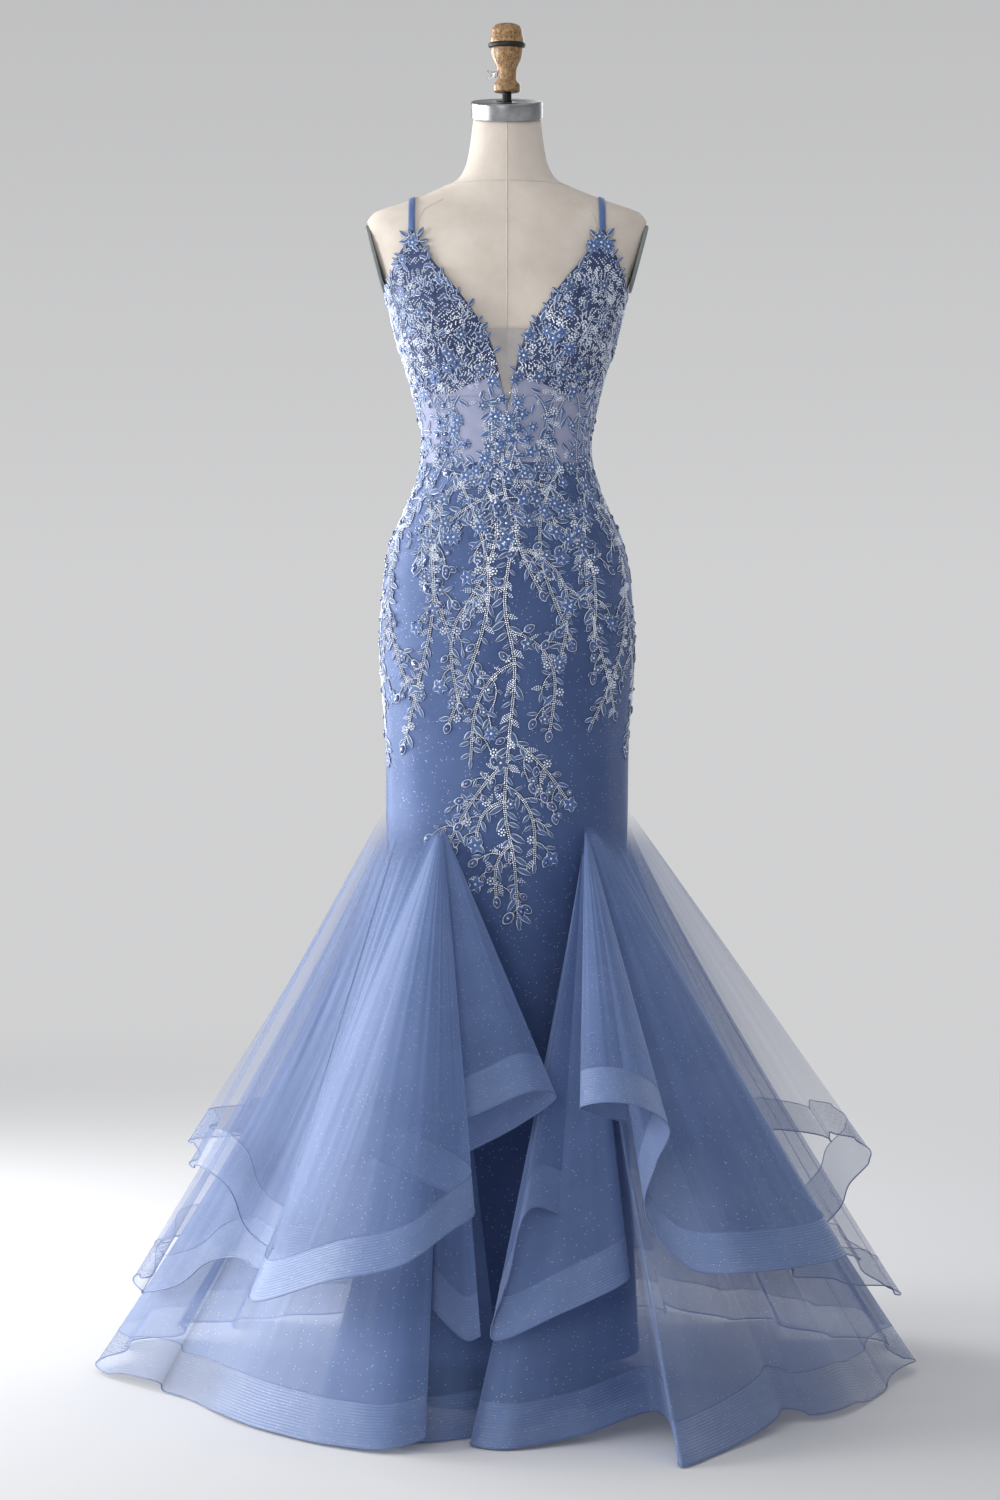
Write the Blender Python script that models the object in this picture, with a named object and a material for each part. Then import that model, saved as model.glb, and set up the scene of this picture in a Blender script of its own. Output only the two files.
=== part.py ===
"""A mermaid evening gown on a limbless dress form: a beaded bodice, a satin sheath and three tiers of tulle
ruffles with stiff braid hems, over a linen torso on a pole and a round base. Metres, +Z up; the origin is the
middle of the base's underside, and the front of the gown faces -Y."""

import math

import bmesh
import bpy
import numpy as np
from mathutils import Vector

GAP = 0.0003  # between pieces that are sewn or seated together
SATIN = 0.0012  # wall of the bodice and skirt cloth
TULLE = 0.0010  # wall of the ruffles
BRAID = 0.0012  # wall of the stiff hem braid
BRAID_WIDTH = 0.056
BRAID_GAP = 0.0008  # along a ruffle's folds, which cross the braid's edge at a slant
LACE = 0.0010
APPLIQUE_STEP = 0.042  # a row of points for each step down a motif
LACE_LIFT = 0.0014  # the corded motifs ride this far off the satin, on their beads
EASE = 0.0030  # how far the torso lies inside the cloth it fills

FORM_BOTTOM = 0.795
NECK_TOP = 1.672
NECK_TILT = math.radians(11)  # the neck is cut on a plane that leans forward
WAIST_SEAM = 1.220
CUP_SEAM = 1.306
SHEATH_HEM = 0.047
INSERT_BOTTOM = 1.306 - 0.008
INSERT_TOP = 1.392
SIDE_SEAM = 90.0  # degrees round from the centre front
ZIP_HALF_GAP = 1.6  # degrees between the centre back and each back panel
ZIP_BOTTOM = 0.985

# The figure that the torso fills and the sheath goes on from: half its width, and how far it reaches
# in front of and behind the stand's axis, at each height.
SECTIONS = (
    # height, half_width, front, back
    (0.047, 0.176, 0.150, 0.160),
    (0.200, 0.168, 0.136, 0.145),
    (0.400, 0.160, 0.122, 0.131),
    (0.600, 0.156, 0.111, 0.122),
    (0.780, 0.159, 0.108, 0.122),
    (0.860, 0.160, 0.110, 0.127),
    (0.975, 0.167, 0.112, 0.133),
    (1.060, 0.163, 0.108, 0.129),
    (1.110, 0.154, 0.104, 0.117),
    (1.165, 0.131, 0.097, 0.100),
    (1.220, 0.1115, 0.089, 0.087),
    (1.242, 0.1090, 0.087, 0.085),
    (1.280, 0.1145, 0.088, 0.087),
    (1.330, 0.127, 0.092, 0.093),
    (1.380, 0.143, 0.096, 0.101),
    (1.420, 0.153, 0.098, 0.106),
    (1.460, 0.165, 0.096, 0.107),
    (1.500, 0.184, 0.089, 0.103),
    (1.530, 0.189, 0.077, 0.092),
    (1.548, 0.178, 0.066, 0.081),
    (1.562, 0.140, 0.060, 0.073),
    (1.577, 0.100, 0.057, 0.066),
    (1.594, 0.066, 0.055, 0.060),
    (1.620, 0.054, 0.050, 0.054),
    (1.672, 0.0465, 0.0455, 0.0475),
)
BUST = {"turn": 37.0, "height": 1.392, "depth": 0.030, "spread": 21.0, "above": 0.050, "below": 0.036}
SEAT = {"turn": 154.0, "height": 0.955, "depth": 0.010, "spread": 24.0, "above": 0.070, "below": 0.060}

# The arm plates lie on flats cut in the torso's sides, which lean in towards the waist.
ARM_FLAT_TOP = 1.540
ARM_FLAT_BOTTOM = 1.438
ARM_FLAT_OUT = 0.1835
ARM_FLAT_LEAN = 0.264
ARM_PLATE_DEPTH = 0.036
ARM_PLATE_HEIGHT = 0.046
ARM_PLATE_WALL = 0.005

# The bodice's top edge from the centre front to the side: the plunge, the strap's point, the armhole.
PLUNGE = ((0, 1.286), (4.3, 1.330), (6.7, 1.359), (10.5, 1.391), (18.3, 1.425), (32, 1.477), (40, 1.520))
ARMHOLE = ((40.0, 1.520), (42.6, 1.520), (46.5, 1.500), (58.0, 1.474), (74.0, 1.447), (90.0, 1.436))
BACK_EDGE = ((90.0, 1.436), (112.0, 1.405), (140.0, 1.370), (180.0, 1.350))

STRAP_ACROSS = 0.124
STRAP_WIDTH = 0.008
STRAP_WALL = 0.0012
STRAP_STEPS = 8  # from the shoulder's ridge to each end

# Where each ruffle hangs: a row for each fold along its hem. seam is how far round the sheath the fold
# starts, in degrees from the centre front; across and forward are where its hem hangs, from the stand's
# axis, across towards the ruffle's own side; height is the hem's.
UPPER_LEFT = (
    (27.0, 0.057, 0.262, 0.342),
    (28.5, -0.016, 0.272, 0.382),
    (30.0, -0.062, 0.290, 0.420),
    (31.5, -0.034, 0.312, 0.430),
    (33.0, 0.049, 0.326, 0.398),
    (34.6, 0.175, 0.325, 0.371),
    (35.4, 0.172, 0.346, 0.359),
    (37.0, 0.052, 0.420, 0.310),
    (38.0, 0.042, 0.442, 0.294),
    (39.0, 0.066, 0.472, 0.279),
    (41.0, 0.128, 0.506, 0.243),
    (44.0, 0.214, 0.475, 0.219),
    (48.0, 0.320, 0.362, 0.176),
    (56.0, 0.296, 0.262, 0.223),
    (63.0, 0.306, 0.218, 0.226),
    (75.0, 0.393, 0.085, 0.289),
    (88.0, 0.421, 0.000, 0.297),
    (100.0, 0.414, -0.098, 0.285),
)
UPPER_RIGHT = (
    (27.0, 0.150, 0.348, 0.395),
    (28.5, 0.114, 0.385, 0.408),
    (30.0, 0.089, 0.405, 0.420),
    (31.5, 0.1205, 0.432, 0.431),
    (33.0, 0.162, 0.436, 0.426),
    (34.5, 0.199, 0.413, 0.396),
    (36.0, 0.184, 0.390, 0.350),
    (37.5, 0.170, 0.384, 0.290),
    (40.0, 0.222, 0.418, 0.225),
    (43.0, 0.296, 0.432, 0.222),
    (47.0, 0.421, 0.340, 0.228),
    (56.0, 0.388, 0.232, 0.240),
    (66.0, 0.414, 0.145, 0.245),
    (76.0, 0.468, 0.050, 0.289),
    (87.0, 0.483, -0.010, 0.314),
    (100.0, 0.446, -0.110, 0.310),
)
MIDDLE_FRONT_LEFT = (
    (21.0, 0.033, 0.352, 0.128),
    (22.5, 0.050, 0.350, 0.122),
    (24.0, 0.092, 0.335, 0.158),
    (25.0, 0.100, 0.318, 0.166),
)
MIDDLE_FRONT_RIGHT = (
    (17.0, 0.135, 0.288, 0.222),
    (18.5, 0.0915, 0.306, 0.220),
    (20.0, 0.0345, 0.336, 0.197),
    (21.6, 0.0040, 0.354, 0.158),
    (22.5, -0.0150, 0.370, 0.136),
    (23.2, -0.0130, 0.386, 0.131),
    (24.4, 0.065, 0.389, 0.162),
    (26.0, 0.146, 0.366, 0.198),
    (27.0, 0.152, 0.345, 0.205),
    (28.0, 0.128, 0.318, 0.215),
)
MIDDLE_LEFT = (
    (44.0, 0.262, 0.268, 0.200),
    (52.0, 0.312, 0.215, 0.192),
    (61.0, 0.352, 0.132, 0.188),
    (76.0, 0.458, 0.034, 0.135),
    (88.0, 0.500, -0.040, 0.125),
    (100.0, 0.482, -0.130, 0.125),
)
MIDDLE_RIGHT = (
    (46.0, 0.302, 0.240, 0.200),
    (53.0, 0.352, 0.212, 0.190),
    (62.0, 0.385, 0.160, 0.178),
    (76.0, 0.488, 0.040, 0.130),
    (88.0, 0.527, -0.035, 0.118),
    (100.0, 0.486, -0.130, 0.120),
)
FLOOR_LEFT = (
    (17.0, 0.000, 0.325, 0.004),
    (19.0, 0.052, 0.366, 0.003),
    (21.0, 0.118, 0.392, 0.003),
    (23.0, 0.180, 0.358, 0.003),
    (24.6, 0.240, 0.321, 0.004),
    (25.4, 0.240, 0.337, 0.005),
    (26.5, 0.205, 0.367, 0.006),
    (28.0, 0.150, 0.402, 0.012),
    (29.5, 0.100, 0.432, 0.018),
    (31.0, 0.145, 0.450, 0.008),
    (34.0, 0.222, 0.405, 0.004),
    (39.0, 0.290, 0.335, 0.004),
    (46.0, 0.352, 0.248, 0.004),
    (58.0, 0.418, 0.112, 0.004),
    (72.0, 0.490, 0.025, 0.006),
    (88.0, 0.555, -0.085, 0.014),
    (100.0, 0.522, -0.165, 0.008),
)
FLOOR_RIGHT = (
    (15.0, 0.050, 0.325, 0.015),
    (17.0, -0.046, 0.398, 0.004),
    (19.0, -0.008, 0.430, 0.003),
    (21.5, 0.090, 0.388, 0.011),
    (25.0, 0.186, 0.335, 0.030),
    (29.0, 0.209, 0.420, 0.006),
    (31.5, 0.210, 0.530, 0.003),
    (36.0, 0.262, 0.448, 0.003),
    (41.0, 0.338, 0.314, 0.016),
    (46.0, 0.352, 0.268, 0.022),
    (53.0, 0.414, 0.236, 0.004),
    (66.0, 0.486, 0.092, 0.008),
    (78.0, 0.515, 0.000, 0.010),
    (89.0, 0.552, -0.085, 0.018),
    (100.0, 0.522, -0.165, 0.008),
)
# Behind the sides the flutes are even. start is the seam's height, flare how late a tier swings out.
TIERS = {
    "upper": {"start": 0.763, "flare": 1.00, "crest": 0.495, "dip": 0.415, "height": 0.235},
    "middle": {"start": 0.745, "flare": 1.10, "crest": 0.545, "dip": 0.462, "height": 0.115},
    "floor": {"start": 0.728, "flare": 1.22, "crest": 0.598, "dip": 0.512, "height": 0.004},
}
BACK_FOLDS = 7  # from behind the side to the centre back
BACK_FIRST_SEAM = 110.0
SEAM_LIFT = 0.0011  # how far a ruffle's gathered top stands off the sheath
FRONT_SEAM_DROP = 0.024  # the seam dips from the side to the godet's point at the front
COLUMNS_PER_FOLD = 2
TULLE_ROWS = (0.0, 0.40)  # shares of the drop where the tulle has a row, above its braid

POLE_RADIUS = 0.0125
BASE_RADIUS = 0.185
BASE_PROFILE = ((0.185, 0.000), (0.185, 0.009), (0.178, 0.014), (0.060, 0.024), (0.030, 0.034), (0.026, 0.060))

ROD_RADIUS = 0.0062
RING_RADIUS = 0.0472
RING_HEIGHT = 0.0225
FINIAL_BOTTOM = 1.7060
FINIAL_BORE = 0.0066
FINIAL_BORE_DEPTH = 0.036
SCREW_ABOVE = 0.0236  # the wing screw's axis above the finial's foot
SCREW_RADIUS = 0.0024

SLIDER_DROP = 0.012  # the slider's middle below the back's top edge
SLIDER = (0.0080, 0.0022, 0.0110)
LUG = (0.0010, 0.0044, 0.0032)
LUG_ACROSS = 0.0027
PIN_RADIUS = 0.0006
PIN_OUT = 0.0045  # the pull's axis in front of the slider's back face
PULL_LENGTH = 0.024
PULL_WALL = 0.0011
PULL_END = 0.0034  # its rounded end's radius
KNUCKLE_RADIUS = 0.0017


def smooth_between(table, column, at):
    """A table's column at a value of its first one, on a smooth curve with no overshoot."""
    keys = [row[0] for row in table]
    values = [row[column] for row in table]
    at = min(max(at, keys[0]), keys[-1])
    last = len(keys) - 1
    k = min(max(int(np.searchsorted(keys, at)) - 1, 0), last - 1)
    slopes = [(values[i + 1] - values[i]) / (keys[i + 1] - keys[i]) for i in range(last)]

    def tangent(i):
        if i in (0, last):
            return slopes[0] if i == 0 else slopes[-1]
        before, after = slopes[i - 1], slopes[i]
        return 0.0 if before * after <= 0 else 2 * before * after / (before + after)

    span = keys[k + 1] - keys[k]
    t = (at - keys[k]) / span
    return (
        values[k] * (1 + 2 * t) * (1 - t) ** 2
        + values[k + 1] * t * t * (3 - 2 * t)
        + span * (tangent(k) * t * (1 - t) ** 2 - tangent(k + 1) * t * t * (1 - t))
    )


def through(rows, steps):
    """Points on a centripetal Catmull-Rom curve through the rows, with steps of them to each row."""
    rows = [np.array(row, float) for row in rows]
    ends = [2 * rows[0] - rows[1], *rows, 2 * rows[-1] - rows[-2]]
    found = []
    for a, b, c, d in zip(ends, ends[1:], ends[2:], ends[3:]):
        knots = [0.0]
        for p, q in ((a, b), (b, c), (c, d)):
            knots.append(knots[-1] + math.sqrt(max(np.linalg.norm((q - p)[1:]), 1e-6)))
        for k in range(steps):
            t = knots[1] + (knots[2] - knots[1]) * k / steps
            ab = (a * (knots[1] - t) + b * (t - knots[0])) / (knots[1] - knots[0])
            bc = (b * (knots[2] - t) + c * (t - knots[1])) / (knots[2] - knots[1])
            cd = (c * (knots[3] - t) + d * (t - knots[2])) / (knots[3] - knots[2])
            abc = (ab * (knots[2] - t) + bc * (t - knots[0])) / (knots[2] - knots[0])
            bcd = (bc * (knots[3] - t) + cd * (t - knots[1])) / (knots[3] - knots[1])
            found.append((abc * (knots[2] - t) + bcd * (t - knots[1])) / (knots[2] - knots[1]))
    return [*found, rows[-1]]


def swell(form, turn, height):
    """How far a rounded swelling stands out at this turn and height."""
    reach = form["above"] if height > form["height"] else form["below"]
    away = ((abs(turn) - form["turn"]) / form["spread"]) ** 2 + ((height - form["height"]) / reach) ** 2
    return form["depth"] * math.exp(-away / 2 * 1.6)


def figure(turn, height, out=0.0):
    """The figure's surface at a turn round from the centre front in degrees, moved out by a distance."""
    half, front, back = (smooth_between(SECTIONS, column, height) for column in (1, 2, 3))
    angle = math.radians(turn)
    depth = front if math.cos(angle) > 0 else back
    across, forward = math.sin(angle), math.cos(angle)
    normal = Vector((across * depth, -forward * half)).normalized()
    out += swell(BUST, turn, height) + swell(SEAT, turn, height)
    return Vector((across * half + normal.x * out, -forward * depth + normal.y * out, height))


def material(name, colour, roughness, metallic=0.0):
    """A plain finish for one object."""
    made = bpy.data.materials.new(name)
    made.use_nodes = True
    shader = made.node_tree.nodes["Principled BSDF"]
    shader.inputs["Base Color"].default_value = (*colour, 1.0)
    shader.inputs["Roughness"].default_value = roughness
    shader.inputs["Metallic"].default_value = metallic
    made.diffuse_color = (*colour, 1.0)
    return made


def add_object(name, points, faces, finish, sharp=35.0):
    """A closed mesh object, its faces turned outwards and its round sides shaded smooth."""
    mesh = bpy.data.meshes.new(name)
    mesh.from_pydata([tuple(p) for p in points], [], faces)
    work = bmesh.new()
    work.from_mesh(mesh)
    bmesh.ops.recalc_face_normals(work, faces=work.faces)
    if work.calc_volume(signed=True) < 0:
        bmesh.ops.reverse_faces(work, faces=work.faces)
    work.to_mesh(mesh)
    work.free()
    mesh.shade_smooth()
    mesh.set_sharp_from_angle(angle=math.radians(sharp))
    mesh.materials.append(finish)
    made = bpy.data.objects.new(name, mesh)
    bpy.context.collection.objects.link(made)
    return made


def wall_between(name, inner, outer, finish):
    """A wall of cloth between two grids of points, rows by columns, closed round its four edges."""
    rows, columns = len(inner), len(inner[0])
    points = [p for row in inner for p in row] + [p for row in outer for p in row]
    skin = rows * columns
    faces = []
    for r in range(rows - 1):
        for c in range(columns - 1):
            a = r * columns + c
            b, d, e = a + 1, a + columns + 1, a + columns
            for i, j, k in ((a, b, d), (a, d, e)):  # both skins bend along the same diagonal
                faces.append((i, j, k))
                faces.append((skin + k, skin + j, skin + i))
    rim = list(range(columns))
    rim += [r * columns + columns - 1 for r in range(1, rows)]
    rim += [(rows - 1) * columns + c for c in range(columns - 2, -1, -1)]
    rim += [r * columns for r in range(rows - 2, 0, -1)]
    for a, b in zip(rim, rim[1:] + rim[:1]):
        faces.append((b, a, skin + a, skin + b))
    return add_object(name, points, faces, finish)


def fitted_panel(name, turns, low, high, rows, inside, wall, finish):
    """A fitted panel of cloth on the figure: its lower and upper edges are functions of the turn."""
    grids = []
    for out in (inside, inside + wall):
        grid = []
        for r in range(rows + 1):
            share = r / rows
            grid.append([figure(t, low(t) * (1 - share) + high(t) * share, out) for t in turns])
        grids.append(grid)
    return wall_between(name, *grids, finish)


def spread(start, end, count):
    return [start + (end - start) * k / count for k in range(count + 1)]


def top_edge(turn):
    """The height of the bodice's top edge at a turn from the centre front."""
    turn = abs(turn)
    if turn <= PLUNGE[-1][0]:
        return float(np.interp(turn, *zip(*PLUNGE)))
    return float(np.interp(turn, *zip(*(ARMHOLE if turn <= SIDE_SEAM else BACK_EDGE))))


def plunge_turn(height):
    """How far round the plunge's edge lies at a height."""
    turns, heights = zip(*PLUNGE)
    return float(np.interp(height, heights, turns))


def degrees_for(gap, turn, height):
    """A gap along the figure's surface, as degrees of turn."""
    return gap / ((figure(turn + 1, height) - figure(turn, height)).length)


def ring_loft(name, rings, finish):
    """A closed solid through rings with the same number of points, with flat ends."""
    count = len(rings[0])
    points = [p for ring in rings for p in ring]
    faces = []
    for r in range(len(rings) - 1):
        for k in range(count):
            n = (k + 1) % count
            faces.append((r * count + k, r * count + n, (r + 1) * count + n, (r + 1) * count + k))
    last = (len(rings) - 1) * count
    faces.append(tuple(range(count - 1, -1, -1)))
    faces.append(tuple(last + k for k in range(count)))
    return add_object(name, points, faces, finish)


def turned(name, profile, finish, sides=32, at=(0.0, 0.0, 0.0), sharp=35.0):
    """A turned solid: profile is (radius, height) round its outline, from the axis back to it."""
    points, faces, loops = [], [], []
    for radius, height in profile:
        if radius == 0:
            loops.append([len(points)])
            points.append((0.0, 0.0, height))
        else:
            loops.append(list(range(len(points), len(points) + sides)))
            for k in range(sides):
                angle = 2 * math.pi * k / sides
                points.append((radius * math.cos(angle), radius * math.sin(angle), height))
    for low, high in zip(loops, loops[1:]):
        for k in range(sides):
            n = (k + 1) % sides
            if len(low) == 1:
                faces.append((low[0], high[n], high[k]))
            elif len(high) == 1:
                faces.append((low[k], low[n], high[0]))
            else:
                faces.append((low[k], low[n], high[n], high[k]))
    for end in (loops[0], loops[-1]):
        if len(end) > 1:
            faces.append(tuple(end))
    made = add_object(name, points, faces, finish, sharp)
    made.location = at
    return made


def boolean(made, cutter, operation):
    """Joins a helper to an object, or cuts it away."""
    cutter.hide_render = True
    cutter.display_type = "WIRE"
    modifier = made.modifiers.new(operation.lower(), "BOOLEAN")
    modifier.operation = operation
    modifier.object = cutter


def block(name, size, at, finish):
    """A box of a size about a middle."""
    half = [edge / 2 for edge in size]
    corners = [
        (at[0] + i * half[0], at[1] + j * half[1], at[2] + k * half[2])
        for k in (-1, 1)
        for i, j in ((-1, -1), (1, -1), (1, 1), (-1, 1))
    ]
    faces = [(0, 1, 2, 3), (4, 5, 6, 7), (0, 1, 5, 4), (1, 2, 6, 5), (2, 3, 7, 6), (3, 0, 4, 7)]
    return add_object(name, corners, faces, finish)


def arm_flat(height):
    """How far out the flat for the arm plate lies at a height."""
    return ARM_FLAT_OUT - (ARM_FLAT_TOP - height) * ARM_FLAT_LEAN


def torso_point(turn, height):
    """The torso's surface, a little inside the cloth, with its arm flats and its slanting neck."""
    point = figure(turn, height, -EASE)
    if ARM_FLAT_BOTTOM < height < ARM_FLAT_TOP + 0.004:
        point.x = max(min(point.x, arm_flat(height)), -arm_flat(height))
    slant = max(0.0, (height - 1.600) / (NECK_TOP - 1.600))
    point.z += point.y * math.tan(NECK_TILT) * slant
    return point


def build_form():
    """The linen torso, its arm plates, the steel cap on its neck, the finial, and the stand."""
    linen = material("linen", (0.76, 0.69, 0.62), 0.85)
    steel = material("brushed steel", (0.55, 0.56, 0.58), 0.30, 1.0)
    black = material("black steel", (0.03, 0.03, 0.035), 0.45, 0.8)
    grey = material("grey plate", (0.22, 0.25, 0.24), 0.60)
    wood = material("beech", (0.46, 0.28, 0.13), 0.50)
    chrome = material("chrome", (0.75, 0.76, 0.78), 0.12, 1.0)

    heights = spread(FORM_BOTTOM, 1.150, 7) + spread(1.180, 1.285, 3) + spread(1.305, 1.500, 11)
    heights += [1.515, 1.528, 1.540, 1.550, 1.560, 1.569, 1.578, 1.588, 1.600, 1.625, 1.650, NECK_TOP]
    sides = 40
    rings = [[torso_point(360.0 * k / sides, z) for k in range(sides)] for z in heights]
    ring_loft("form_torso", rings, linen)

    lean = math.atan(ARM_FLAT_LEAN)
    middle = (ARM_FLAT_TOP + ARM_FLAT_BOTTOM) / 2
    for name, side in (("arm_plate_left", -1), ("arm_plate_right", 1)):
        rings = []
        for out, shrink in ((GAP, 1.0), (GAP + ARM_PLATE_WALL - 0.0015, 1.0), (GAP + ARM_PLATE_WALL, 0.96)):
            ring = []
            for k in range(28):
                angle = 2 * math.pi * k / 28
                up = ARM_PLATE_HEIGHT * shrink * math.sin(angle)
                x = arm_flat(middle) + up * math.sin(lean) + out * math.cos(lean)
                z = middle + up * math.cos(lean) - out * math.sin(lean)
                ring.append((side * x, ARM_PLATE_DEPTH * shrink * math.cos(angle), z))
            rings.append(ring)
        ring_loft(name, rings, grey)

    recess, floor = 0.014, 0.0165
    cap = turned(
        "neck_cap",
        (
            (0, 0),
            (RING_RADIUS - 0.0008, 0),
            (RING_RADIUS, 0.0008),
            (RING_RADIUS, RING_HEIGHT - 0.0018),
            (RING_RADIUS - 0.0018, RING_HEIGHT),
            (recess, RING_HEIGHT),
            (recess, floor),
            (0, floor),
        ),
        steel,
        32,
        (0, 0, NECK_TOP + GAP),
    )
    cap.rotation_euler = (NECK_TILT, 0, 0)
    rod_foot = NECK_TOP + GAP + floor * math.cos(NECK_TILT) + ROD_RADIUS * math.tan(NECK_TILT) + GAP
    rod_top = FINIAL_BOTTOM + FINIAL_BORE_DEPTH - 0.004
    rod_from = (0, -floor * math.sin(NECK_TILT), rod_foot)
    rod_length = rod_top - rod_foot
    rod_profile = ((0, 0), (ROD_RADIUS, 0), (ROD_RADIUS, rod_length), (0, rod_length))
    turned("neck_rod", rod_profile, black, 24, rod_from)
    on_rod = (0, rod_from[1], FINIAL_BOTTOM)

    body = turned(
        "finial_body",
        (
            (0, FINIAL_BORE_DEPTH),
            (FINIAL_BORE, FINIAL_BORE_DEPTH),
            (FINIAL_BORE, 0),
            (0.0160, 0),
            (0.0177, 0.0020),
            (0.0179, 0.0060),
            (0.0177, 0.0105),
            (0.0150, 0.0130),
            (0.0129, 0.0155),
            (0.0128, 0.0260),
            (0.0134, 0.0315),
            (0.0165, 0.0375),
            (0.0198, 0.0450),
            (0.0212, 0.0530),
            (0.0215, 0.0585),
            (0, 0.0585),
        ),
        wood,
        24,
        on_rod,
    )
    screw_at = (0, rod_from[1], FINIAL_BOTTOM + SCREW_ABOVE)
    hole = SCREW_RADIUS + GAP
    bore = turned("screw_hole", ((0, 0.004), (hole, 0.004), (hole, 0.022), (0, 0.022)), wood, 14, screw_at)
    bore.rotation_euler = (0, -math.pi / 2, 0)
    boolean(body, bore, "DIFFERENCE")
    ring_profile = [(0, 0.0588), (0.0236, 0.0588), (0.0245, 0.0600), (0.0245, 0.0630)]
    ring_profile += [(0.0236, 0.0642), (0, 0.0642)]
    turned("finial_ring", ring_profile, black, 28, on_rod)
    cap_profile = [(0, 0.0645), (0.0226, 0.0645), (0.0222, 0.0690), (0.0212, 0.0745)]
    cap_profile += [
        (0.0204 * math.cos(a) ** 0.6, 0.0785 + 0.0119 * math.sin(a)) for a in np.radians((0, 22, 42, 60, 75))
    ]
    turned("finial_cap", [*cap_profile, (0, 0.0904)], wood, 28, on_rod)

    tip = ROD_RADIUS + GAP
    shank = (
        (0, tip),
        (SCREW_RADIUS, tip),
        (SCREW_RADIUS, 0.0135),
        (0.0043, 0.0135),
        (0.0043, 0.0165),
        (0.0030, 0.0185),
        (0, 0.0185),
    )
    screw = turned("wing_screw", shank, chrome, 14, screw_at)
    screw.rotation_euler = (0, -math.pi / 2, 0)
    outline = [(0.0165, -0.0022), (0.0245, -0.0064), (0.0262, -0.0040), (0.0205, 0.0), (0.0262, 0.0040)]
    outline += [(0.0245, 0.0064), (0.0165, 0.0022)]
    wings = [[(across, depth, along) for along, across in outline] for depth in (-0.0009, 0.0009)]
    wing = ring_loft("wings", wings, chrome)
    wing.location = screw_at
    wing.rotation_euler = (0, -math.pi / 2, 0)
    boolean(screw, wing, "UNION")

    base = [(0, 0), *BASE_PROFILE, (0, BASE_PROFILE[-1][1])]
    turned("stand_base", base, black, 40)
    foot = BASE_PROFILE[-1][1] + GAP
    top = FORM_BOTTOM - GAP
    turned("stand_pole", ((0, foot), (POLE_RADIUS, foot), (POLE_RADIUS, top), (0, top)), steel, 24)


def build_bodice():
    """The cups, the neck insert, the sheer corset front, the plain back and the straps."""
    lace = material("beaded lace", (0.20, 0.29, 0.55), 0.50)
    mesh = material("skin mesh", (0.62, 0.56, 0.52), 0.80)
    sheer = material("sheer net", (0.28, 0.34, 0.55), 0.60)
    satin = material("satin", (0.10, 0.18, 0.46), 0.42)

    cup_turns = (2.4, 4.3, 6.7, 10.5, 18.3, 25.0, 32.0, 36.5, 40.0, 42.6, 46.5, 52.0, 58.0, 66.0, 78.0)
    for name, side in (("cup_left", -1), ("cup_right", 1)):
        edge = SIDE_SEAM - degrees_for(GAP / 2, SIDE_SEAM, CUP_SEAM)
        turns = [side * t for t in (*cup_turns, edge)]
        fitted_panel(name, turns, lambda t: CUP_SEAM + GAP / 2, top_edge, 7, GAP, SATIN, lace)

    rows = []
    corners = [z for turn, z in PLUNGE if INSERT_BOTTOM < z < INSERT_TOP - 0.005]
    for height in (INSERT_BOTTOM, *corners, INSERT_TOP):
        reach = plunge_turn(height) - degrees_for(1.5 * GAP, plunge_turn(height), height)
        rows.append((height, reach))
    grids = [
        [[figure(share * reach, height, out) for share in spread(-1, 1, 6)] for height, reach in rows]
        for out in (GAP, GAP + SATIN)
    ]
    wall_between("neck_insert", *grids, mesh)

    edge = SIDE_SEAM - degrees_for(GAP / 2, SIDE_SEAM, WAIST_SEAM)
    half = (2.0, 8.0, 18.0, 28.0, 38.0, 50.0, 62.0, 76.0, edge)
    turns = [-t for t in reversed(half)] + [0.0, *half]
    fitted_panel(
        "corset_front",
        turns,
        lambda t: WAIST_SEAM + GAP / 2,
        lambda t: min(CUP_SEAM - GAP / 2, top_edge(t)),
        3,
        GAP,
        SATIN,
        sheer,
    )

    start = SIDE_SEAM + degrees_for(GAP / 2, SIDE_SEAM, WAIST_SEAM)
    for name, side in (("bodice_back_left", -1), ("bodice_back_right", 1)):
        turns = [side * t for t in spread(start, 180 - ZIP_HALF_GAP, 8)]
        fitted_panel(name, turns, lambda t: WAIST_SEAM + GAP / 2, top_edge, 6, GAP, SATIN, satin)

    for name, side in (("strap_left", -1), ("strap_right", 1)):
        columns = [STRAP_ACROSS + STRAP_WIDTH * share for share in (-0.5, 0.5)]
        lines = [shoulder_line(across) for across in columns]
        inner, outer = [], []
        for r in range(len(lines[0])):
            low, high = max(r - 1, 0), min(r + 1, len(lines[0]) - 1)
            normal = (lines[1][high] - lines[1][low]).cross(lines[1][r] - lines[0][r]).normalized()
            if normal.z < 0:
                normal.negate()
            inner.append([line[r].copy() for line in lines])
            outer.append([line[r] + normal * STRAP_WALL for line in lines])
        for grid in (inner, outer):
            for row in grid:
                for point in row:
                    point.x *= side
        wall_between(name, inner, outer, satin)


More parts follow.
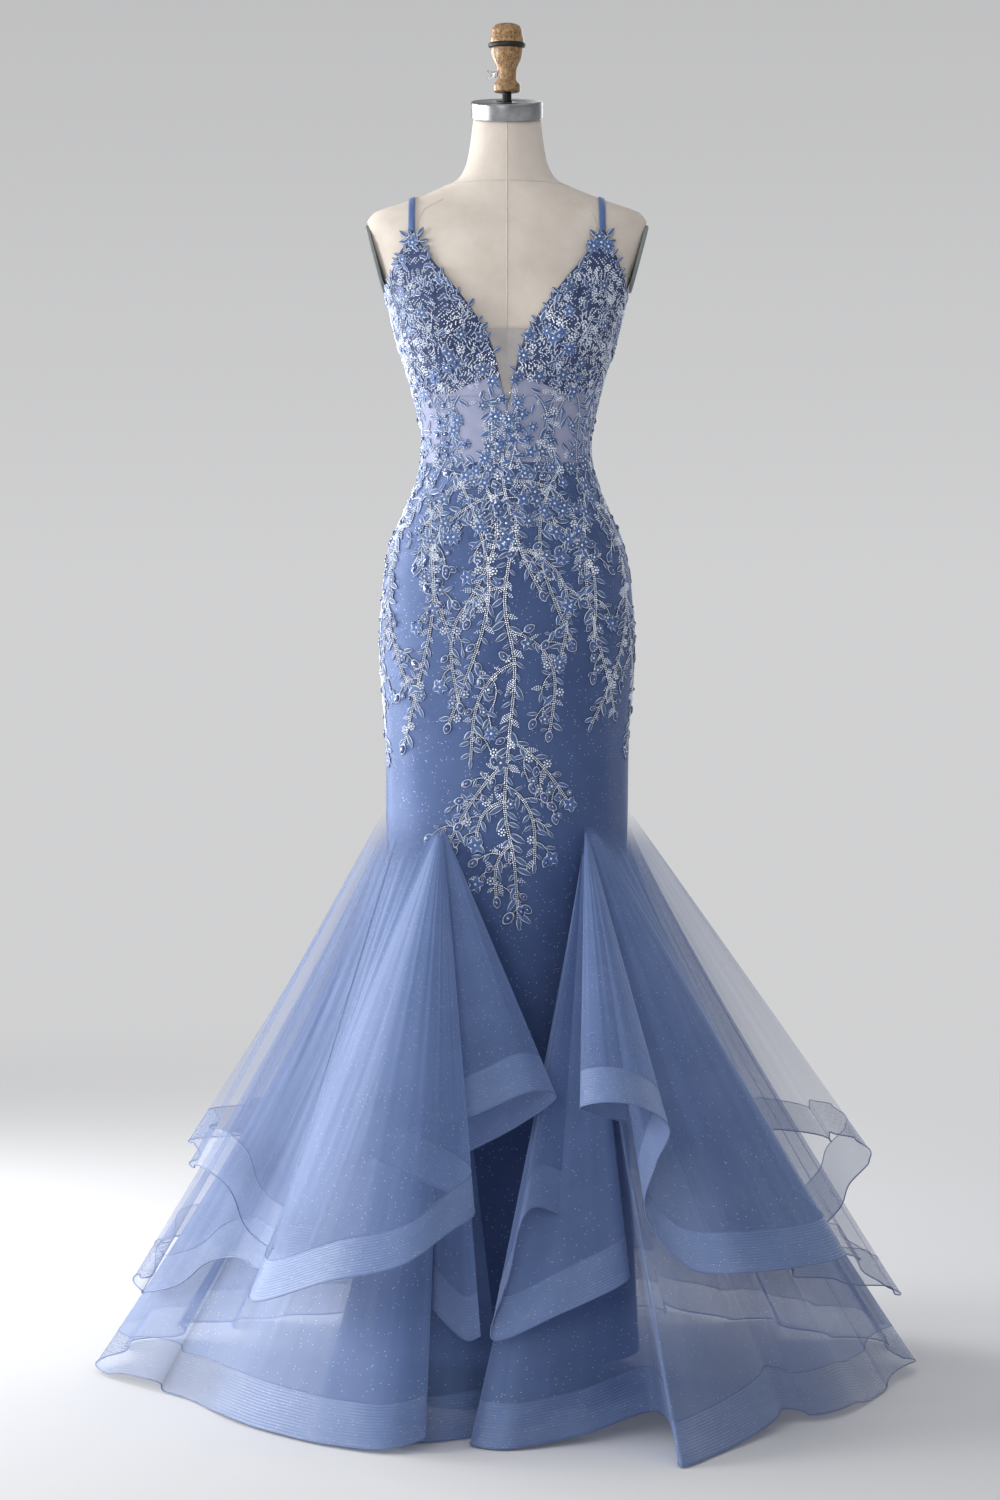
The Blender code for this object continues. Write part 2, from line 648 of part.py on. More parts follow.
def shoulder_line(across):
    """Points on the figure over the shoulder at a distance from the middle, from the cup to the back."""

    def half_width(height):
        return smooth_between(SECTIONS, 1, height)

    low, high = 1.548, 1.594
    for _ in range(30):
        ridge = (low + high) / 2
        low, high = (ridge, high) if half_width(ridge) > across else (low, ridge)
    back_end = 1.39
    for _ in range(8):
        back_end = top_edge(180 - math.degrees(math.asin(across / half_width(back_end)))) + GAP
    points = []
    for end, column, sign in ((ARMHOLE[0][1] + GAP, 2, -1), (back_end, 3, 1)):
        line = []
        for k in range(STRAP_STEPS + 1):
            height = ridge - (ridge - end) * (k / STRAP_STEPS) ** 2
            reach = math.sqrt(max(0.0, 1 - (across / half_width(height)) ** 2))
            line.append(Vector((across, sign * smooth_between(SECTIONS, column, height) * reach, height)))
        points = line[:0:-1] + points if sign < 0 else points + line
    return points


def back_edge_turn(height):
    """Where the back panels end: at the zip above its foot, and at each other below it."""
    if height >= ZIP_BOTTOM:
        return 180 - ZIP_HALF_GAP
    return 180 - degrees_for(GAP / 2, 179, height)


def build_skirt():
    """The sheath: a front and two back panels, with the zip between them."""
    satin = material("glitter satin", (0.10, 0.18, 0.46), 0.42)
    tape = material("zip tape", (0.09, 0.16, 0.40), 0.70)
    chrome = material("zip metal", (0.60, 0.62, 0.68), 0.25, 1.0)
    heights = [SHEATH_HEM, 0.300, 0.600, 0.780, 0.850, 0.905, 0.945, ZIP_BOTTOM - 0.012, ZIP_BOTTOM, 1.030]
    heights += [1.070, 1.105, 1.135, 1.165, 1.192, WAIST_SEAM - GAP / 2]
    side = SIDE_SEAM - degrees_for(GAP / 2, SIDE_SEAM, 1.0)
    rows = [[(t, z) for t in spread(-side, side, 14)] for z in heights]
    sheet("skirt_front", rows, satin)
    for name, sign in (("skirt_back_left", -1), ("skirt_back_right", 1)):
        rows = [[(sign * t, z) for t in spread(180 - side, back_edge_turn(z), 7)] for z in heights]
        sheet(name, rows, satin)

    top = top_edge(180)
    zip_heights = [ZIP_BOTTOM, *[z for z in heights if z > ZIP_BOTTOM], *spread(1.25, top, 4)]
    rows = []
    for z in zip_heights:
        edge = 180 - ZIP_HALF_GAP + degrees_for(GAP, 179, z)
        rows.append([(t, z) for t in (edge, 180.0, 360 - edge)])
    sheet("zip_tape", rows, tape)

    middle = top - SLIDER_DROP
    face = figure(180, middle + SLIDER[2] / 2, GAP + SATIN + GAP).y
    slider = block("zip_slider", SLIDER, (0, face + SLIDER[1] / 2, middle), chrome)
    axis = Vector((0, face + PIN_OUT, middle + SLIDER[2] / 2 - LUG[2] / 2))
    for sign in (-1, 1):
        at = (sign * LUG_ACROSS, face + SLIDER[1] + LUG[1] / 2 - 0.0004, axis.z)
        boolean(slider, block(f"lug_{sign}", LUG, at, chrome), "UNION")
    pin_profile = ((0, -LUG_ACROSS), (PIN_RADIUS, -LUG_ACROSS), (PIN_RADIUS, LUG_ACROSS), (0, LUG_ACROSS))
    pin = turned("pin", pin_profile, chrome, 16, axis)
    pin.rotation_euler = (0, math.pi / 2, 0)
    boolean(slider, pin, "UNION")

    half = LUG_ACROSS - LUG[0] / 2 - GAP
    outline = [(-half, -0.0012), (half, -0.0012), (half, -0.0030)]
    eye = PULL_LENGTH - PULL_END - 0.001
    for a in np.radians((100, 60, 25)):
        outline.append((PULL_END * math.sin(a), -eye - PULL_END * math.cos(a)))
    outline += [(-x, z) for x, z in reversed(outline[2:])]
    rings = [[(x, depth, z) for x, z in outline] for depth in (-PULL_WALL / 2, PULL_WALL / 2)]
    pull = ring_loft("zip_pull", rings, chrome)
    pull.location = axis
    knuckle_profile = ((0, -half), (KNUCKLE_RADIUS, -half), (KNUCKLE_RADIUS, half), (0, half))
    knuckle = turned("knuckle", knuckle_profile, chrome, 20)
    knuckle.parent = pull
    knuckle.rotation_euler = (0, math.pi / 2, 0)
    boolean(pull, knuckle, "UNION")
    reach = half + GAP
    hole = PIN_RADIUS + GAP
    bore = turned("pull_hole", ((0, -reach), (hole, -reach), (hole, reach), (0, reach)), chrome, 16)
    bore.parent = pull
    bore.rotation_euler = (0, math.pi / 2, 0)
    boolean(pull, bore, "DIFFERENCE")


def sheet(name, rows, finish, inside=GAP, wall=SATIN):
    """A wall of cloth on the figure through rows of (turn, height)."""
    grids = [[[figure(turn, z, out) for turn, z in row] for row in rows] for out in (inside, inside + wall)]
    return wall_between(name, *grids, finish)


def build_appliques():
    """The cut lace motifs sewn on the skirt: a long centre vine and a spray at each side."""
    lace = material("corded lace", (0.42, 0.50, 0.72), 0.50)
    # top_turn, top_height, tip_turn, tip_height: its middle line; half_width: at its widest
    motifs = {
        "applique_centre": (0.0, 1.190, 6.0, 0.625, 0.045),
        "applique_left": (-48.0, 1.180, -40.0, 0.860, 0.040),
        "applique_right": (48.0, 1.180, 40.0, 0.880, 0.040),
        "applique_side_left": (-80.0, 1.150, -82.0, 0.840, 0.022),
        "applique_side_right": (78.0, 1.150, 82.0, 0.840, 0.022),
    }
    for name, (top_turn, top_height, tip_turn, tip_height, half_width) in motifs.items():
        rows = []
        for share in spread(0, 1, round((top_height - tip_height) / APPLIQUE_STEP)):
            turn = top_turn + (tip_turn - top_turn) * share
            z = top_height + (tip_height - top_height) * share
            reach = degrees_for(half_width * (0.10 + 0.90 * math.sin(math.pi * share ** 0.7)), turn, z)
            rows.append([(turn + reach * across, z) for across in spread(-1, 1, 4)])
        sheet(name, rows, lace, GAP + SATIN + LACE_LIFT, LACE)


def seam_point(turn, tier):
    """Where a ruffle is sewn to the sheath."""
    front = max(0.0, math.cos(math.radians(turn))) ** 2
    return figure(turn, tier["start"] - FRONT_SEAM_DROP * front, GAP + SATIN + SEAM_LIFT + TULLE / 2)


def back_rows(tier):
    """The even flutes from behind the side to the centre back: crests and dips in turn."""
    rows = []
    last = 180 - degrees_for(GAP / 2 + 0.0001, 179, tier["start"])
    for k in range(1, BACK_FOLDS + 1):
        turn = BACK_FIRST_SEAM + (last - BACK_FIRST_SEAM) * k / BACK_FOLDS
        reach = tier["crest"] if k % 2 else tier["dip"]
        angle = math.radians(turn)
        across = GAP / 2 + 0.0001 if k == BACK_FOLDS else reach * math.sin(angle)
        rows.append((turn, across, reach * math.cos(angle), tier["height"]))
    return rows


def build_ruffle(name, folds, side, tier, reaches_back, tulle, braid):
    """A tulle ruffle and the braid band on its hem, from the seam on the sheath out to its folds."""
    rows = [*folds, *(back_rows(tier) if reaches_back else [])]
    columns = []
    for turn, across, forward, height in through(rows, COLUMNS_PER_FOLD):
        start = seam_point(side * turn, tier)
        hem = Vector((side * across, -forward, height))
        drop = (hem - start).length
        joint = 1 - BRAID_WIDTH / drop
        gap = BRAID_GAP / 2 / drop
        shares = [joint * share for share in TULLE_ROWS] + [joint - gap, joint + gap, 1.0]
        column = []
        for share in shares:
            out = share ** tier["flare"]
            x = start.x + (hem.x - start.x) * out
            y = start.y + (hem.y - start.y) * out
            column.append(Vector((x, y, start.z + (hem.z - start.z) * share)))
        columns.append(column)
    grid = [list(row) for row in zip(*columns)]
    normals = grid_normals(grid)
    if reaches_back:
        for row in normals:
            row[-1].x = 0.0
            row[-1].normalize()
    split = len(TULLE_ROWS) + 1
    normals[split] = normals[split - 1]
    side_seam = (len(folds) - 1) * COLUMNS_PER_FOLD
    last = len(columns) - 1
    pieces = [(name, 0, side_seam), (f"{name}_back", side_seam, last)] if reaches_back else [(name, 0, last)]
    for piece, first_column, last_column in pieces:
        for made, low, high, wall, finish in (
            (f"ruffle_{piece}", 0, split, TULLE, tulle),
            (f"braid_{piece}", split, len(grid), BRAID, braid),
        ):
            layers = []
            for out in (-wall / 2, wall / 2):
                layer = []
                for row, across in zip(grid[low:high], normals[low:high]):
                    points = [p + n * out for p, n in zip(row, across)][first_column : last_column + 1]
                    for end, step, seam in ((0, 1, first_column), (-1, -1, last_column)):
                        if 0 < seam < last:
                            inwards = (row[seam + step] - row[seam]).normalized()
                            points[end] += inwards * (GAP / 2)
                    layer.append(points)
                layers.append(layer)
            wall_between(made, *layers, finish)


def grid_normals(grid):
    """The surface's normal at each point of a grid of rows."""
    last_row, last_column = len(grid) - 1, len(grid[0]) - 1
    normals = []
    for r, row in enumerate(grid):
        found = []
        for c in range(len(row)):
            along = row[min(c + 1, last_column)] - row[max(c - 1, 0)]
            down = grid[min(r + 1, last_row)][c] - grid[max(r - 1, 0)][c]
            found.append(along.cross(down).normalized())
        normals.append(found)
    return normals


def build_ruffles():
    """All the ruffles, from the top tier to the one on the floor."""
    tulle = material("tulle", (0.22, 0.32, 0.58), 0.60)
    braid = material("horsehair braid", (0.28, 0.40, 0.68), 0.45)
    pieces = (
        ("upper_left", UPPER_LEFT, -1, "upper", True),
        ("upper_right", UPPER_RIGHT, 1, "upper", True),
        ("middle_front_left", MIDDLE_FRONT_LEFT, -1, "middle", False),
        ("middle_front_right", MIDDLE_FRONT_RIGHT, 1, "middle", False),
        ("middle_left", MIDDLE_LEFT, -1, "middle", True),
        ("middle_right", MIDDLE_RIGHT, 1, "middle", True),
        ("floor_left", FLOOR_LEFT, -1, "floor", True),
        ("floor_right", FLOOR_RIGHT, 1, "floor", True),
    )
    for name, folds, side, tier, reaches_back in pieces:
        build_ruffle(name, folds, side, TIERS[tier], reaches_back, tulle, braid)


def main():
    for old in list(bpy.data.objects):
        bpy.data.objects.remove(old, do_unlink=True)
    build_form()
    build_bodice()
    build_skirt()
    build_appliques()
    build_ruffles()


main()
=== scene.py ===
"""The looks of the mermaid gown and its dress form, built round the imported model, in metres."""

import math
import random

import bpy
import numpy as np
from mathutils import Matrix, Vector


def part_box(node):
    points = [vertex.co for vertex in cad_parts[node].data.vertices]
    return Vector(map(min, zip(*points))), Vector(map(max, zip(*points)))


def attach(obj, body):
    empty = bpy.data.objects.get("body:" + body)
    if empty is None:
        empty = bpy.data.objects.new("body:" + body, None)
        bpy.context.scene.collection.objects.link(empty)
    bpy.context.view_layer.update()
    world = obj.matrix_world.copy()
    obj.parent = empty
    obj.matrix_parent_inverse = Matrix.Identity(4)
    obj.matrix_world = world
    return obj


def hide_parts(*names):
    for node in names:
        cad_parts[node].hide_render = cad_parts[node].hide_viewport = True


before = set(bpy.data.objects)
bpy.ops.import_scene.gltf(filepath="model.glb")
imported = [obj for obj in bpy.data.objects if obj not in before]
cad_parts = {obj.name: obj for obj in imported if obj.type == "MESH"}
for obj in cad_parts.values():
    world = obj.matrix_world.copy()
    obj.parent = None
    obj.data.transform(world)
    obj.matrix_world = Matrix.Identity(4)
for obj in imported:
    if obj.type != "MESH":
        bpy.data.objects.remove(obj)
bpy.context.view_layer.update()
BODY = "gown_on_form"
scene = bpy.context.scene

# ---------------------------------------------------------------- the garment's sizes, as in the CAD model

GAP = 0.0003  # the air between pieces that lie on each other
SATIN = 0.0012
TULLE = 0.0010
EASE = 0.0030  # how far the linen lies inside the gown
SEAM_LIFT = 0.0011  # how far the ruffles' seams stand off the satin
BRAID_WIDTH = 0.056
FORM_BOTTOM = 0.795
NECK_ROOT = 1.600
NECK_TOP = 1.672
NECK_TILT = math.radians(11)
WAIST_SEAM = 1.220
CUP_SEAM = 1.306
SHEATH_HEM = 0.047
INSERT_BOTTOM = 1.298
INSERT_TOP = 1.392
ZIP_BOTTOM = 0.985
ZIP_HALF_GAP = 1.6  # degrees
FRONT_SEAM_DROP = 0.024
CUP_FOOT_RISE = 0.020
STRAP_ACROSS = 0.124  # from the middle
STRAP_WIDTH = 0.008
STRAP_WALL = 0.0012
STRAP_CROWN = 0.0004
ZIP_WALL = 0.0006
ZIP_COIL = 0.0013
ZIP_TURNS_PER_METRE = 620

# The figure: half its width and how far it reaches before and behind the axis, at each height.
SECTIONS = (
    # height, half_width, front, back
    (0.047, 0.176, 0.150, 0.160),
    (0.200, 0.168, 0.136, 0.145),
    (0.400, 0.160, 0.122, 0.131),
    (0.600, 0.156, 0.111, 0.122),
    (0.780, 0.159, 0.108, 0.122),
    (0.860, 0.160, 0.110, 0.127),
    (0.975, 0.167, 0.112, 0.133),
    (1.060, 0.163, 0.108, 0.129),
    (1.110, 0.154, 0.104, 0.117),
    (1.165, 0.131, 0.097, 0.100),
    (1.220, 0.1115, 0.089, 0.087),
    (1.242, 0.1090, 0.087, 0.085),
    (1.280, 0.1145, 0.088, 0.087),
    (1.330, 0.127, 0.092, 0.093),
    (1.380, 0.143, 0.096, 0.101),
    (1.420, 0.153, 0.098, 0.106),
    (1.460, 0.165, 0.096, 0.107),
    (1.500, 0.184, 0.089, 0.103),
    (1.530, 0.189, 0.077, 0.092),
    (1.548, 0.178, 0.066, 0.081),
    (1.562, 0.140, 0.060, 0.073),
    (1.577, 0.100, 0.057, 0.066),
    (1.594, 0.066, 0.055, 0.060),
    (1.620, 0.054, 0.050, 0.054),
    (1.672, 0.0465, 0.0455, 0.0475),
)
BUST = {"turn": 37.0, "height": 1.392, "depth": 0.030, "spread": 21.0, "above": 0.050, "below": 0.036}
SEAT = {"turn": 154.0, "height": 0.955, "depth": 0.010, "spread": 24.0, "above": 0.070, "below": 0.060}
SWELL_FALL = 0.8  # how fast a swelling falls off round its middle
ARM_FLAT_TOP = 1.540
ARM_FLAT_BOTTOM = 1.438
ARM_FLAT_OUT = 0.1835
ARM_FLAT_LEAN = 0.264
ARM_FLAT_EDGE = 0.004
SHOULDER_SEAM_TOP = 1.566
NECK_SEAM = 1.583
NECK_SEAM_RISE = 0.004
TORSO_SEAMS = (0.0, 38.0, -38.0, 90.0, -90.0, 142.0, -142.0, 180.0)
TORSO_BANDS = (
    # from height, to height, rows
    (FORM_BOTTOM, 1.420, 40),
    (1.425, 1.600, 64),
    (1.603, NECK_TOP, 18),
)
PIPING = 0.0009
PIPING_SUNK = 0.0003

# The bodice's top edge as (turn from the centre front in degrees, height).
PLUNGE = ((0, 1.286), (4.3, 1.330), (6.7, 1.359), (10.5, 1.391), (18.3, 1.425), (32, 1.477), (40, 1.520))
ARMHOLE = ((40.0, 1.520), (42.6, 1.520), (46.5, 1.500), (58.0, 1.474), (74.0, 1.447), (90.0, 1.436))
BACK_EDGE = ((90.0, 1.436), (112.0, 1.405), (140.0, 1.370), (180.0, 1.350))

# Where each ruffle hangs, a row for each fold of its hem: seam turn, then the hem's place across and
# forward of the stand's axis and its height.
UPPER_LEFT = (
    (27.0, 0.057, 0.262, 0.342),
    (28.5, -0.016, 0.272, 0.382),
    (30.0, -0.062, 0.290, 0.420),
    (31.5, -0.034, 0.312, 0.430),
    (33.0, 0.049, 0.326, 0.398),
    (35.0, 0.180, 0.332, 0.365),
    (37.5, 0.040, 0.434, 0.298),
    (39.0, 0.070, 0.472, 0.278),
    (41.0, 0.128, 0.506, 0.243),
    (44.0, 0.214, 0.475, 0.219),
    (48.0, 0.320, 0.362, 0.176),
    (56.0, 0.296, 0.262, 0.223),
    (63.0, 0.306, 0.218, 0.226),
    (75.0, 0.393, 0.085, 0.289),
    (88.0, 0.421, 0.000, 0.297),
    (100.0, 0.414, -0.098, 0.285),
)
UPPER_RIGHT = (
    (27.0, 0.150, 0.348, 0.395),
    (28.5, 0.114, 0.385, 0.408),
    (30.0, 0.089, 0.405, 0.420),
    (31.5, 0.1205, 0.432, 0.431),
    (33.0, 0.162, 0.436, 0.426),
    (34.5, 0.199, 0.413, 0.396),
    (36.0, 0.184, 0.390, 0.350),
    (37.5, 0.170, 0.384, 0.290),
    (40.0, 0.222, 0.418, 0.225),
    (43.0, 0.296, 0.432, 0.222),
    (47.0, 0.421, 0.340, 0.228),
    (56.0, 0.388, 0.232, 0.240),
    (66.0, 0.414, 0.145, 0.245),
    (76.0, 0.468, 0.050, 0.289),
    (87.0, 0.483, -0.010, 0.314),
    (100.0, 0.446, -0.110, 0.310),
)
MIDDLE_FRONT_LEFT = (
    (21.0, 0.033, 0.352, 0.128),
    (22.5, 0.050, 0.350, 0.122),
    (24.0, 0.092, 0.335, 0.158),
    (25.0, 0.100, 0.318, 0.166),
)
MIDDLE_FRONT_RIGHT = (
    (17.0, 0.135, 0.288, 0.250),
    (18.5, 0.0915, 0.306, 0.262),
    (20.0, 0.0285, 0.336, 0.285),
    (21.6, 0.0010, 0.360, 0.200),
    (22.8, -0.0185, 0.382, 0.130),
    (24.4, 0.065, 0.385, 0.162),
    (26.0, 0.146, 0.366, 0.198),
    (27.0, 0.152, 0.345, 0.205),
    (28.0, 0.128, 0.318, 0.215),
)
MIDDLE_LEFT = (
    (44.0, 0.262, 0.268, 0.200),
    (52.0, 0.312, 0.215, 0.192),
    (61.0, 0.352, 0.132, 0.188),
    (76.0, 0.458, 0.034, 0.135),
    (88.0, 0.500, -0.040, 0.125),
    (100.0, 0.482, -0.130, 0.125),
)
MIDDLE_RIGHT = (
    (46.0, 0.302, 0.240, 0.200),
    (53.0, 0.352, 0.212, 0.190),
    (62.0, 0.385, 0.160, 0.178),
    (76.0, 0.488, 0.040, 0.130),
    (88.0, 0.527, -0.035, 0.118),
    (100.0, 0.486, -0.130, 0.120),
)
FLOOR_LEFT = (
    (17.0, 0.000, 0.325, 0.004),
    (19.0, 0.052, 0.366, 0.003),
    (21.0, 0.118, 0.392, 0.003),
    (23.0, 0.180, 0.360, 0.003),
    (25.0, 0.245, 0.320, 0.004),
    (26.5, 0.205, 0.365, 0.006),
    (28.0, 0.150, 0.402, 0.012),
    (29.5, 0.100, 0.432, 0.018),
    (31.0, 0.145, 0.450, 0.008),
    (34.0, 0.222, 0.405, 0.004),
    (39.0, 0.290, 0.335, 0.004),
    (46.0, 0.352, 0.248, 0.004),
    (58.0, 0.418, 0.112, 0.004),
    (72.0, 0.490, 0.025, 0.006),
    (88.0, 0.555, -0.085, 0.014),
    (100.0, 0.522, -0.165, 0.008),
)
FLOOR_RIGHT = (
    (15.0, 0.050, 0.325, 0.015),
    (17.0, -0.046, 0.398, 0.004),
    (19.0, -0.008, 0.430, 0.003),
    (21.5, 0.090, 0.388, 0.011),
    (25.0, 0.186, 0.335, 0.030),
    (29.0, 0.209, 0.420, 0.006),
    (31.5, 0.210, 0.530, 0.003),
    (36.0, 0.262, 0.448, 0.003),
    (41.0, 0.338, 0.314, 0.016),
    (46.0, 0.352, 0.268, 0.022),
    (53.0, 0.414, 0.236, 0.004),
    (66.0, 0.486, 0.092, 0.008),
    (78.0, 0.515, 0.000, 0.010),
    (89.0, 0.552, -0.085, 0.018),
    (100.0, 0.522, -0.165, 0.008),
)
# Each tier: its seam's height, how its outline flares, and its back hem's reach at a flute's crest and dip,
# height, and lift beside the figure.
TIERS = {
    "upper": {"start": 0.763, "flare": 1.00, "crest": 0.495, "dip": 0.415, "height": 0.235, "lift": 0.100},
    "middle": {"start": 0.745, "flare": 1.10, "crest": 0.545, "dip": 0.462, "height": 0.115, "lift": 0.040},
    "floor": {"start": 0.728, "flare": 1.22, "crest": 0.598, "dip": 0.512, "height": 0.004, "lift": 0.010},
}
BACK_FOLDS = 7
BACK_FIRST_SEAM = 110.0
BACK_LAST_SEAM = 179.9
BACK_MIDDLE = 0.0003  # the centre back's place across
BACK_LIFT_FADE = 40

# ---------------------------------------------------------------- curves and surfaces


def curve_at(table, column, at):
    """A table's column at values of its first one, on a smooth curve with no overshoot."""
    keys = np.array([row[0] for row in table], float)
    values = np.array([row[column] for row in table], float)
    slopes = np.diff(values) / np.diff(keys)
    tangents = np.zeros(len(keys))
    tangents[0], tangents[-1] = slopes[0], slopes[-1]
    same = slopes[:-1] * slopes[1:] > 0
    total = np.where(same, slopes[:-1] + slopes[1:], 1.0)
    tangents[1:-1] = np.where(same, 2 * slopes[:-1] * slopes[1:] / total, 0.0)
    at = np.clip(at, keys[0], keys[-1])
    k = np.clip(np.searchsorted(keys, at) - 1, 0, len(keys) - 2)
    span = keys[k + 1] - keys[k]
    t = (at - keys[k]) / span
    return (
        values[k] * (1 + 2 * t) * (1 - t) ** 2
        + values[k + 1] * t * t * (3 - 2 * t)
        + span * (tangents[k] * t * (1 - t) ** 2 - tangents[k + 1] * t * t * (1 - t))
    )


def swell(form, turn, height):
    """How far a rounded swelling stands out."""
    reach = np.where(height > form["height"], form["above"], form["below"])
    away = ((np.abs(turn) - form["turn"]) / form["spread"]) ** 2 + ((height - form["height"]) / reach) ** 2
    return form["depth"] * np.exp(-away * SWELL_FALL)


def figure(turn, height, out=0.0):
    """The figure's surface at turns from the centre front in degrees, moved out: an array of points."""
    turn, height, out = np.broadcast_arrays(np.asarray(turn, float), height, out)
    turn = (turn + 180) % 360 - 180
    half, front, back = (curve_at(SECTIONS, column, height) for column in (1, 2, 3))
    across, forward = np.sin(np.radians(turn)), np.cos(np.radians(turn))
    depth = np.where(forward > 0, front, back)
    nx, ny = across * depth, -forward * half
    size = np.hypot(nx, ny)
    out = out + swell(BUST, turn, height) + swell(SEAT, turn, height)
    return np.stack([across * half + nx / size * out, -forward * depth + ny / size * out, height], axis=-1)


def metres_per_degree(turn, height):
    return np.linalg.norm(figure(turn + 0.5, height) - figure(turn - 0.5, height), axis=-1)


def spread(start, end, count):
    return np.linspace(start, end, count + 1)


def top_edge(turn):
    """The bodice's top edge at turns from the centre front."""
    turn = np.abs(turn)
    front = np.interp(turn, *zip(*PLUNGE))
    side = np.interp(turn, *zip(*ARMHOLE))
    back = np.interp(turn, *zip(*BACK_EDGE))
    return np.where(turn <= PLUNGE[-1][0], front, np.where(turn <= 90, side, back))


def passing(a, b, start, end, time):
    """Where the straight way from a at its start to b at its end has come at a time."""
    return (a * (end - time) + b * (time - start)) / (end - start)


def through(rows, steps):
    """Points on a centripetal Catmull-Rom curve through the rows, with steps of them to each row."""
    rows = [np.array(row, float) for row in rows]
    ends = [2 * rows[0] - rows[1], *rows, 2 * rows[-1] - rows[-2]]
    found = []
    for a, b, c, d in zip(ends, ends[1:], ends[2:], ends[3:]):
        knots = [0.0]
        for p, q in ((a, b), (b, c), (c, d)):
            knots.append(knots[-1] + math.sqrt(max(np.linalg.norm((q - p)[1:]), 1e-6)))
        for k in range(steps):
            t = knots[1] + (knots[2] - knots[1]) * k / steps
            ways = [a, b, c, d]
            for reach in (1, 2):
                pairs = zip(ways, ways[1:], knots, knots[reach:])
                ways = [passing(p, q, start, end, t) for p, q, start, end in pairs]
            found.append(passing(*ways, *knots[1:3], t))
    return np.array([*found, rows[-1]])


# ---------------------------------------------------------------- meshes


def ring_of(count):
    """The cosines and sines of equal steps round a circle."""
    angle = np.arange(count) * 2 * math.pi / count
    return np.cos(angle), np.sin(angle)


def grid_faces(rows, columns, around=False):
    """The corners of a grid's faces; around joins its last column to its first."""
    index = np.arange(rows * columns).reshape(rows, columns)
    if around:
        index = np.hstack([index, index[:, :1]])
    return np.stack([index[:-1, :-1], index[:-1, 1:], index[1:, 1:], index[1:, :-1]], -1)


class Pile:
    """Points and faces of one object, gathered from many pieces."""

    def __init__(self):
        self.points, self.uvs, self.covers, self.faces, self.count = [], [], [], [], 0

    def add(self, points, faces, slot=0, uv=None, smooth=True, cover=None):
        points = np.asarray(points, float).reshape(-1, 3)
        self.covers.append(np.ones(len(points)) if cover is None else np.asarray(cover, float).ravel())
        self.points.append(points)
        self.uvs.append(np.zeros((len(points), 2)) if uv is None else np.asarray(uv, float).reshape(-1, 2))
        self.faces.append((np.asarray(faces, int) + self.count, slot, smooth))
        self.count += len(points)

    def grid(self, points, slot=0, uv=None, around=False, flip=False, cover=None):
        """A skin over rows by columns of points."""
        quads = grid_faces(*points.shape[:2], around).reshape(-1, 4)
        self.add(points, quads[:, ::-1] if flip else quads, slot, uv, cover=cover)

    def wall(self, inner, outer, slot=0, uv=None):
        """A closed wall between two grids of points."""
        rows, columns = inner.shape[:2]
        n = rows * columns
        index = np.arange(n).reshape(rows, columns)
        quads = grid_faces(rows, columns).reshape(-1, 4)
        rim = np.concatenate([index[0], index[1:, -1], index[-1, -2::-1], index[-2:0:-1, 0]])
        after = np.roll(rim, -1)
        sides = np.stack([after, rim, rim + n, after + n], -1)
        points = np.concatenate([inner.reshape(-1, 3), outer.reshape(-1, 3)])
        if uv is not None:
            uv = np.concatenate([uv.reshape(-1, 2)] * 2)
        self.add(points, np.concatenate([quads, quads[:, ::-1] + n, sides]), slot, uv)

    def build(self, name, materials, sharp=None):
        """The object, riding on the form's body."""
        mesh = bpy.data.meshes.new(name)
        for made in materials:
            mesh.materials.append(made)
        points, uvs, covers = (np.concatenate(column) for column in (self.points, self.uvs, self.covers))
        groups, looks, smooths = zip(*self.faces)
        counts = [len(faces) for faces in groups]
        corners = np.repeat([faces.shape[1] for faces in groups], counts)
        loops = np.concatenate([faces.ravel() for faces in groups])
        mesh.vertices.add(len(points))
        mesh.loops.add(len(loops))
        mesh.polygons.add(len(corners))
        mesh.vertices.foreach_set("co", points.astype(np.float32).ravel())
        mesh.loops.foreach_set("vertex_index", loops.astype(np.int32))
        mesh.polygons.foreach_set("loop_start", (np.cumsum(corners) - corners).astype(np.int32))
        mesh.polygons.foreach_set("loop_total", corners.astype(np.int32))
        mesh.polygons.foreach_set("material_index", np.repeat(looks, counts).astype(np.int32))
        mesh.polygons.foreach_set("use_smooth", np.repeat(smooths, counts))
        layer = mesh.uv_layers.new(name="UVMap")
        layer.data.foreach_set("uv", uvs[loops].astype(np.float32).ravel())
        if covers.min() < 1:
            cover = mesh.attributes.new("cover", "FLOAT", "POINT")
            cover.data.foreach_set("value", covers.astype(np.float32))
        mesh.update(calc_edges=True)
        mesh.validate()
        if sharp is not None:
            mesh.set_sharp_from_angle(angle=math.radians(sharp))
        made = bpy.data.objects.new(name, mesh)
        scene.collection.objects.link(made)
        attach(made, BODY)
        return made

    def stand_for(self, nodes, name, looks, slot, sharp=None):
        """The object, in the place of nodes of the CAD model, with the looks as its materials; slot is not
        used.
        """
        made = self.build(name, [LOOKS[look] for look in looks], sharp)
        if nodes:
            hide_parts(*nodes)
        return made


def grid_normals(grid):
    """The unit normal at each point of a grid."""
    along = np.gradient(grid, axis=1)
    down = np.gradient(grid, axis=0)
    normal = np.cross(along, down)
    return normal / np.maximum(np.linalg.norm(normal, axis=-1, keepdims=True), 1e-12)


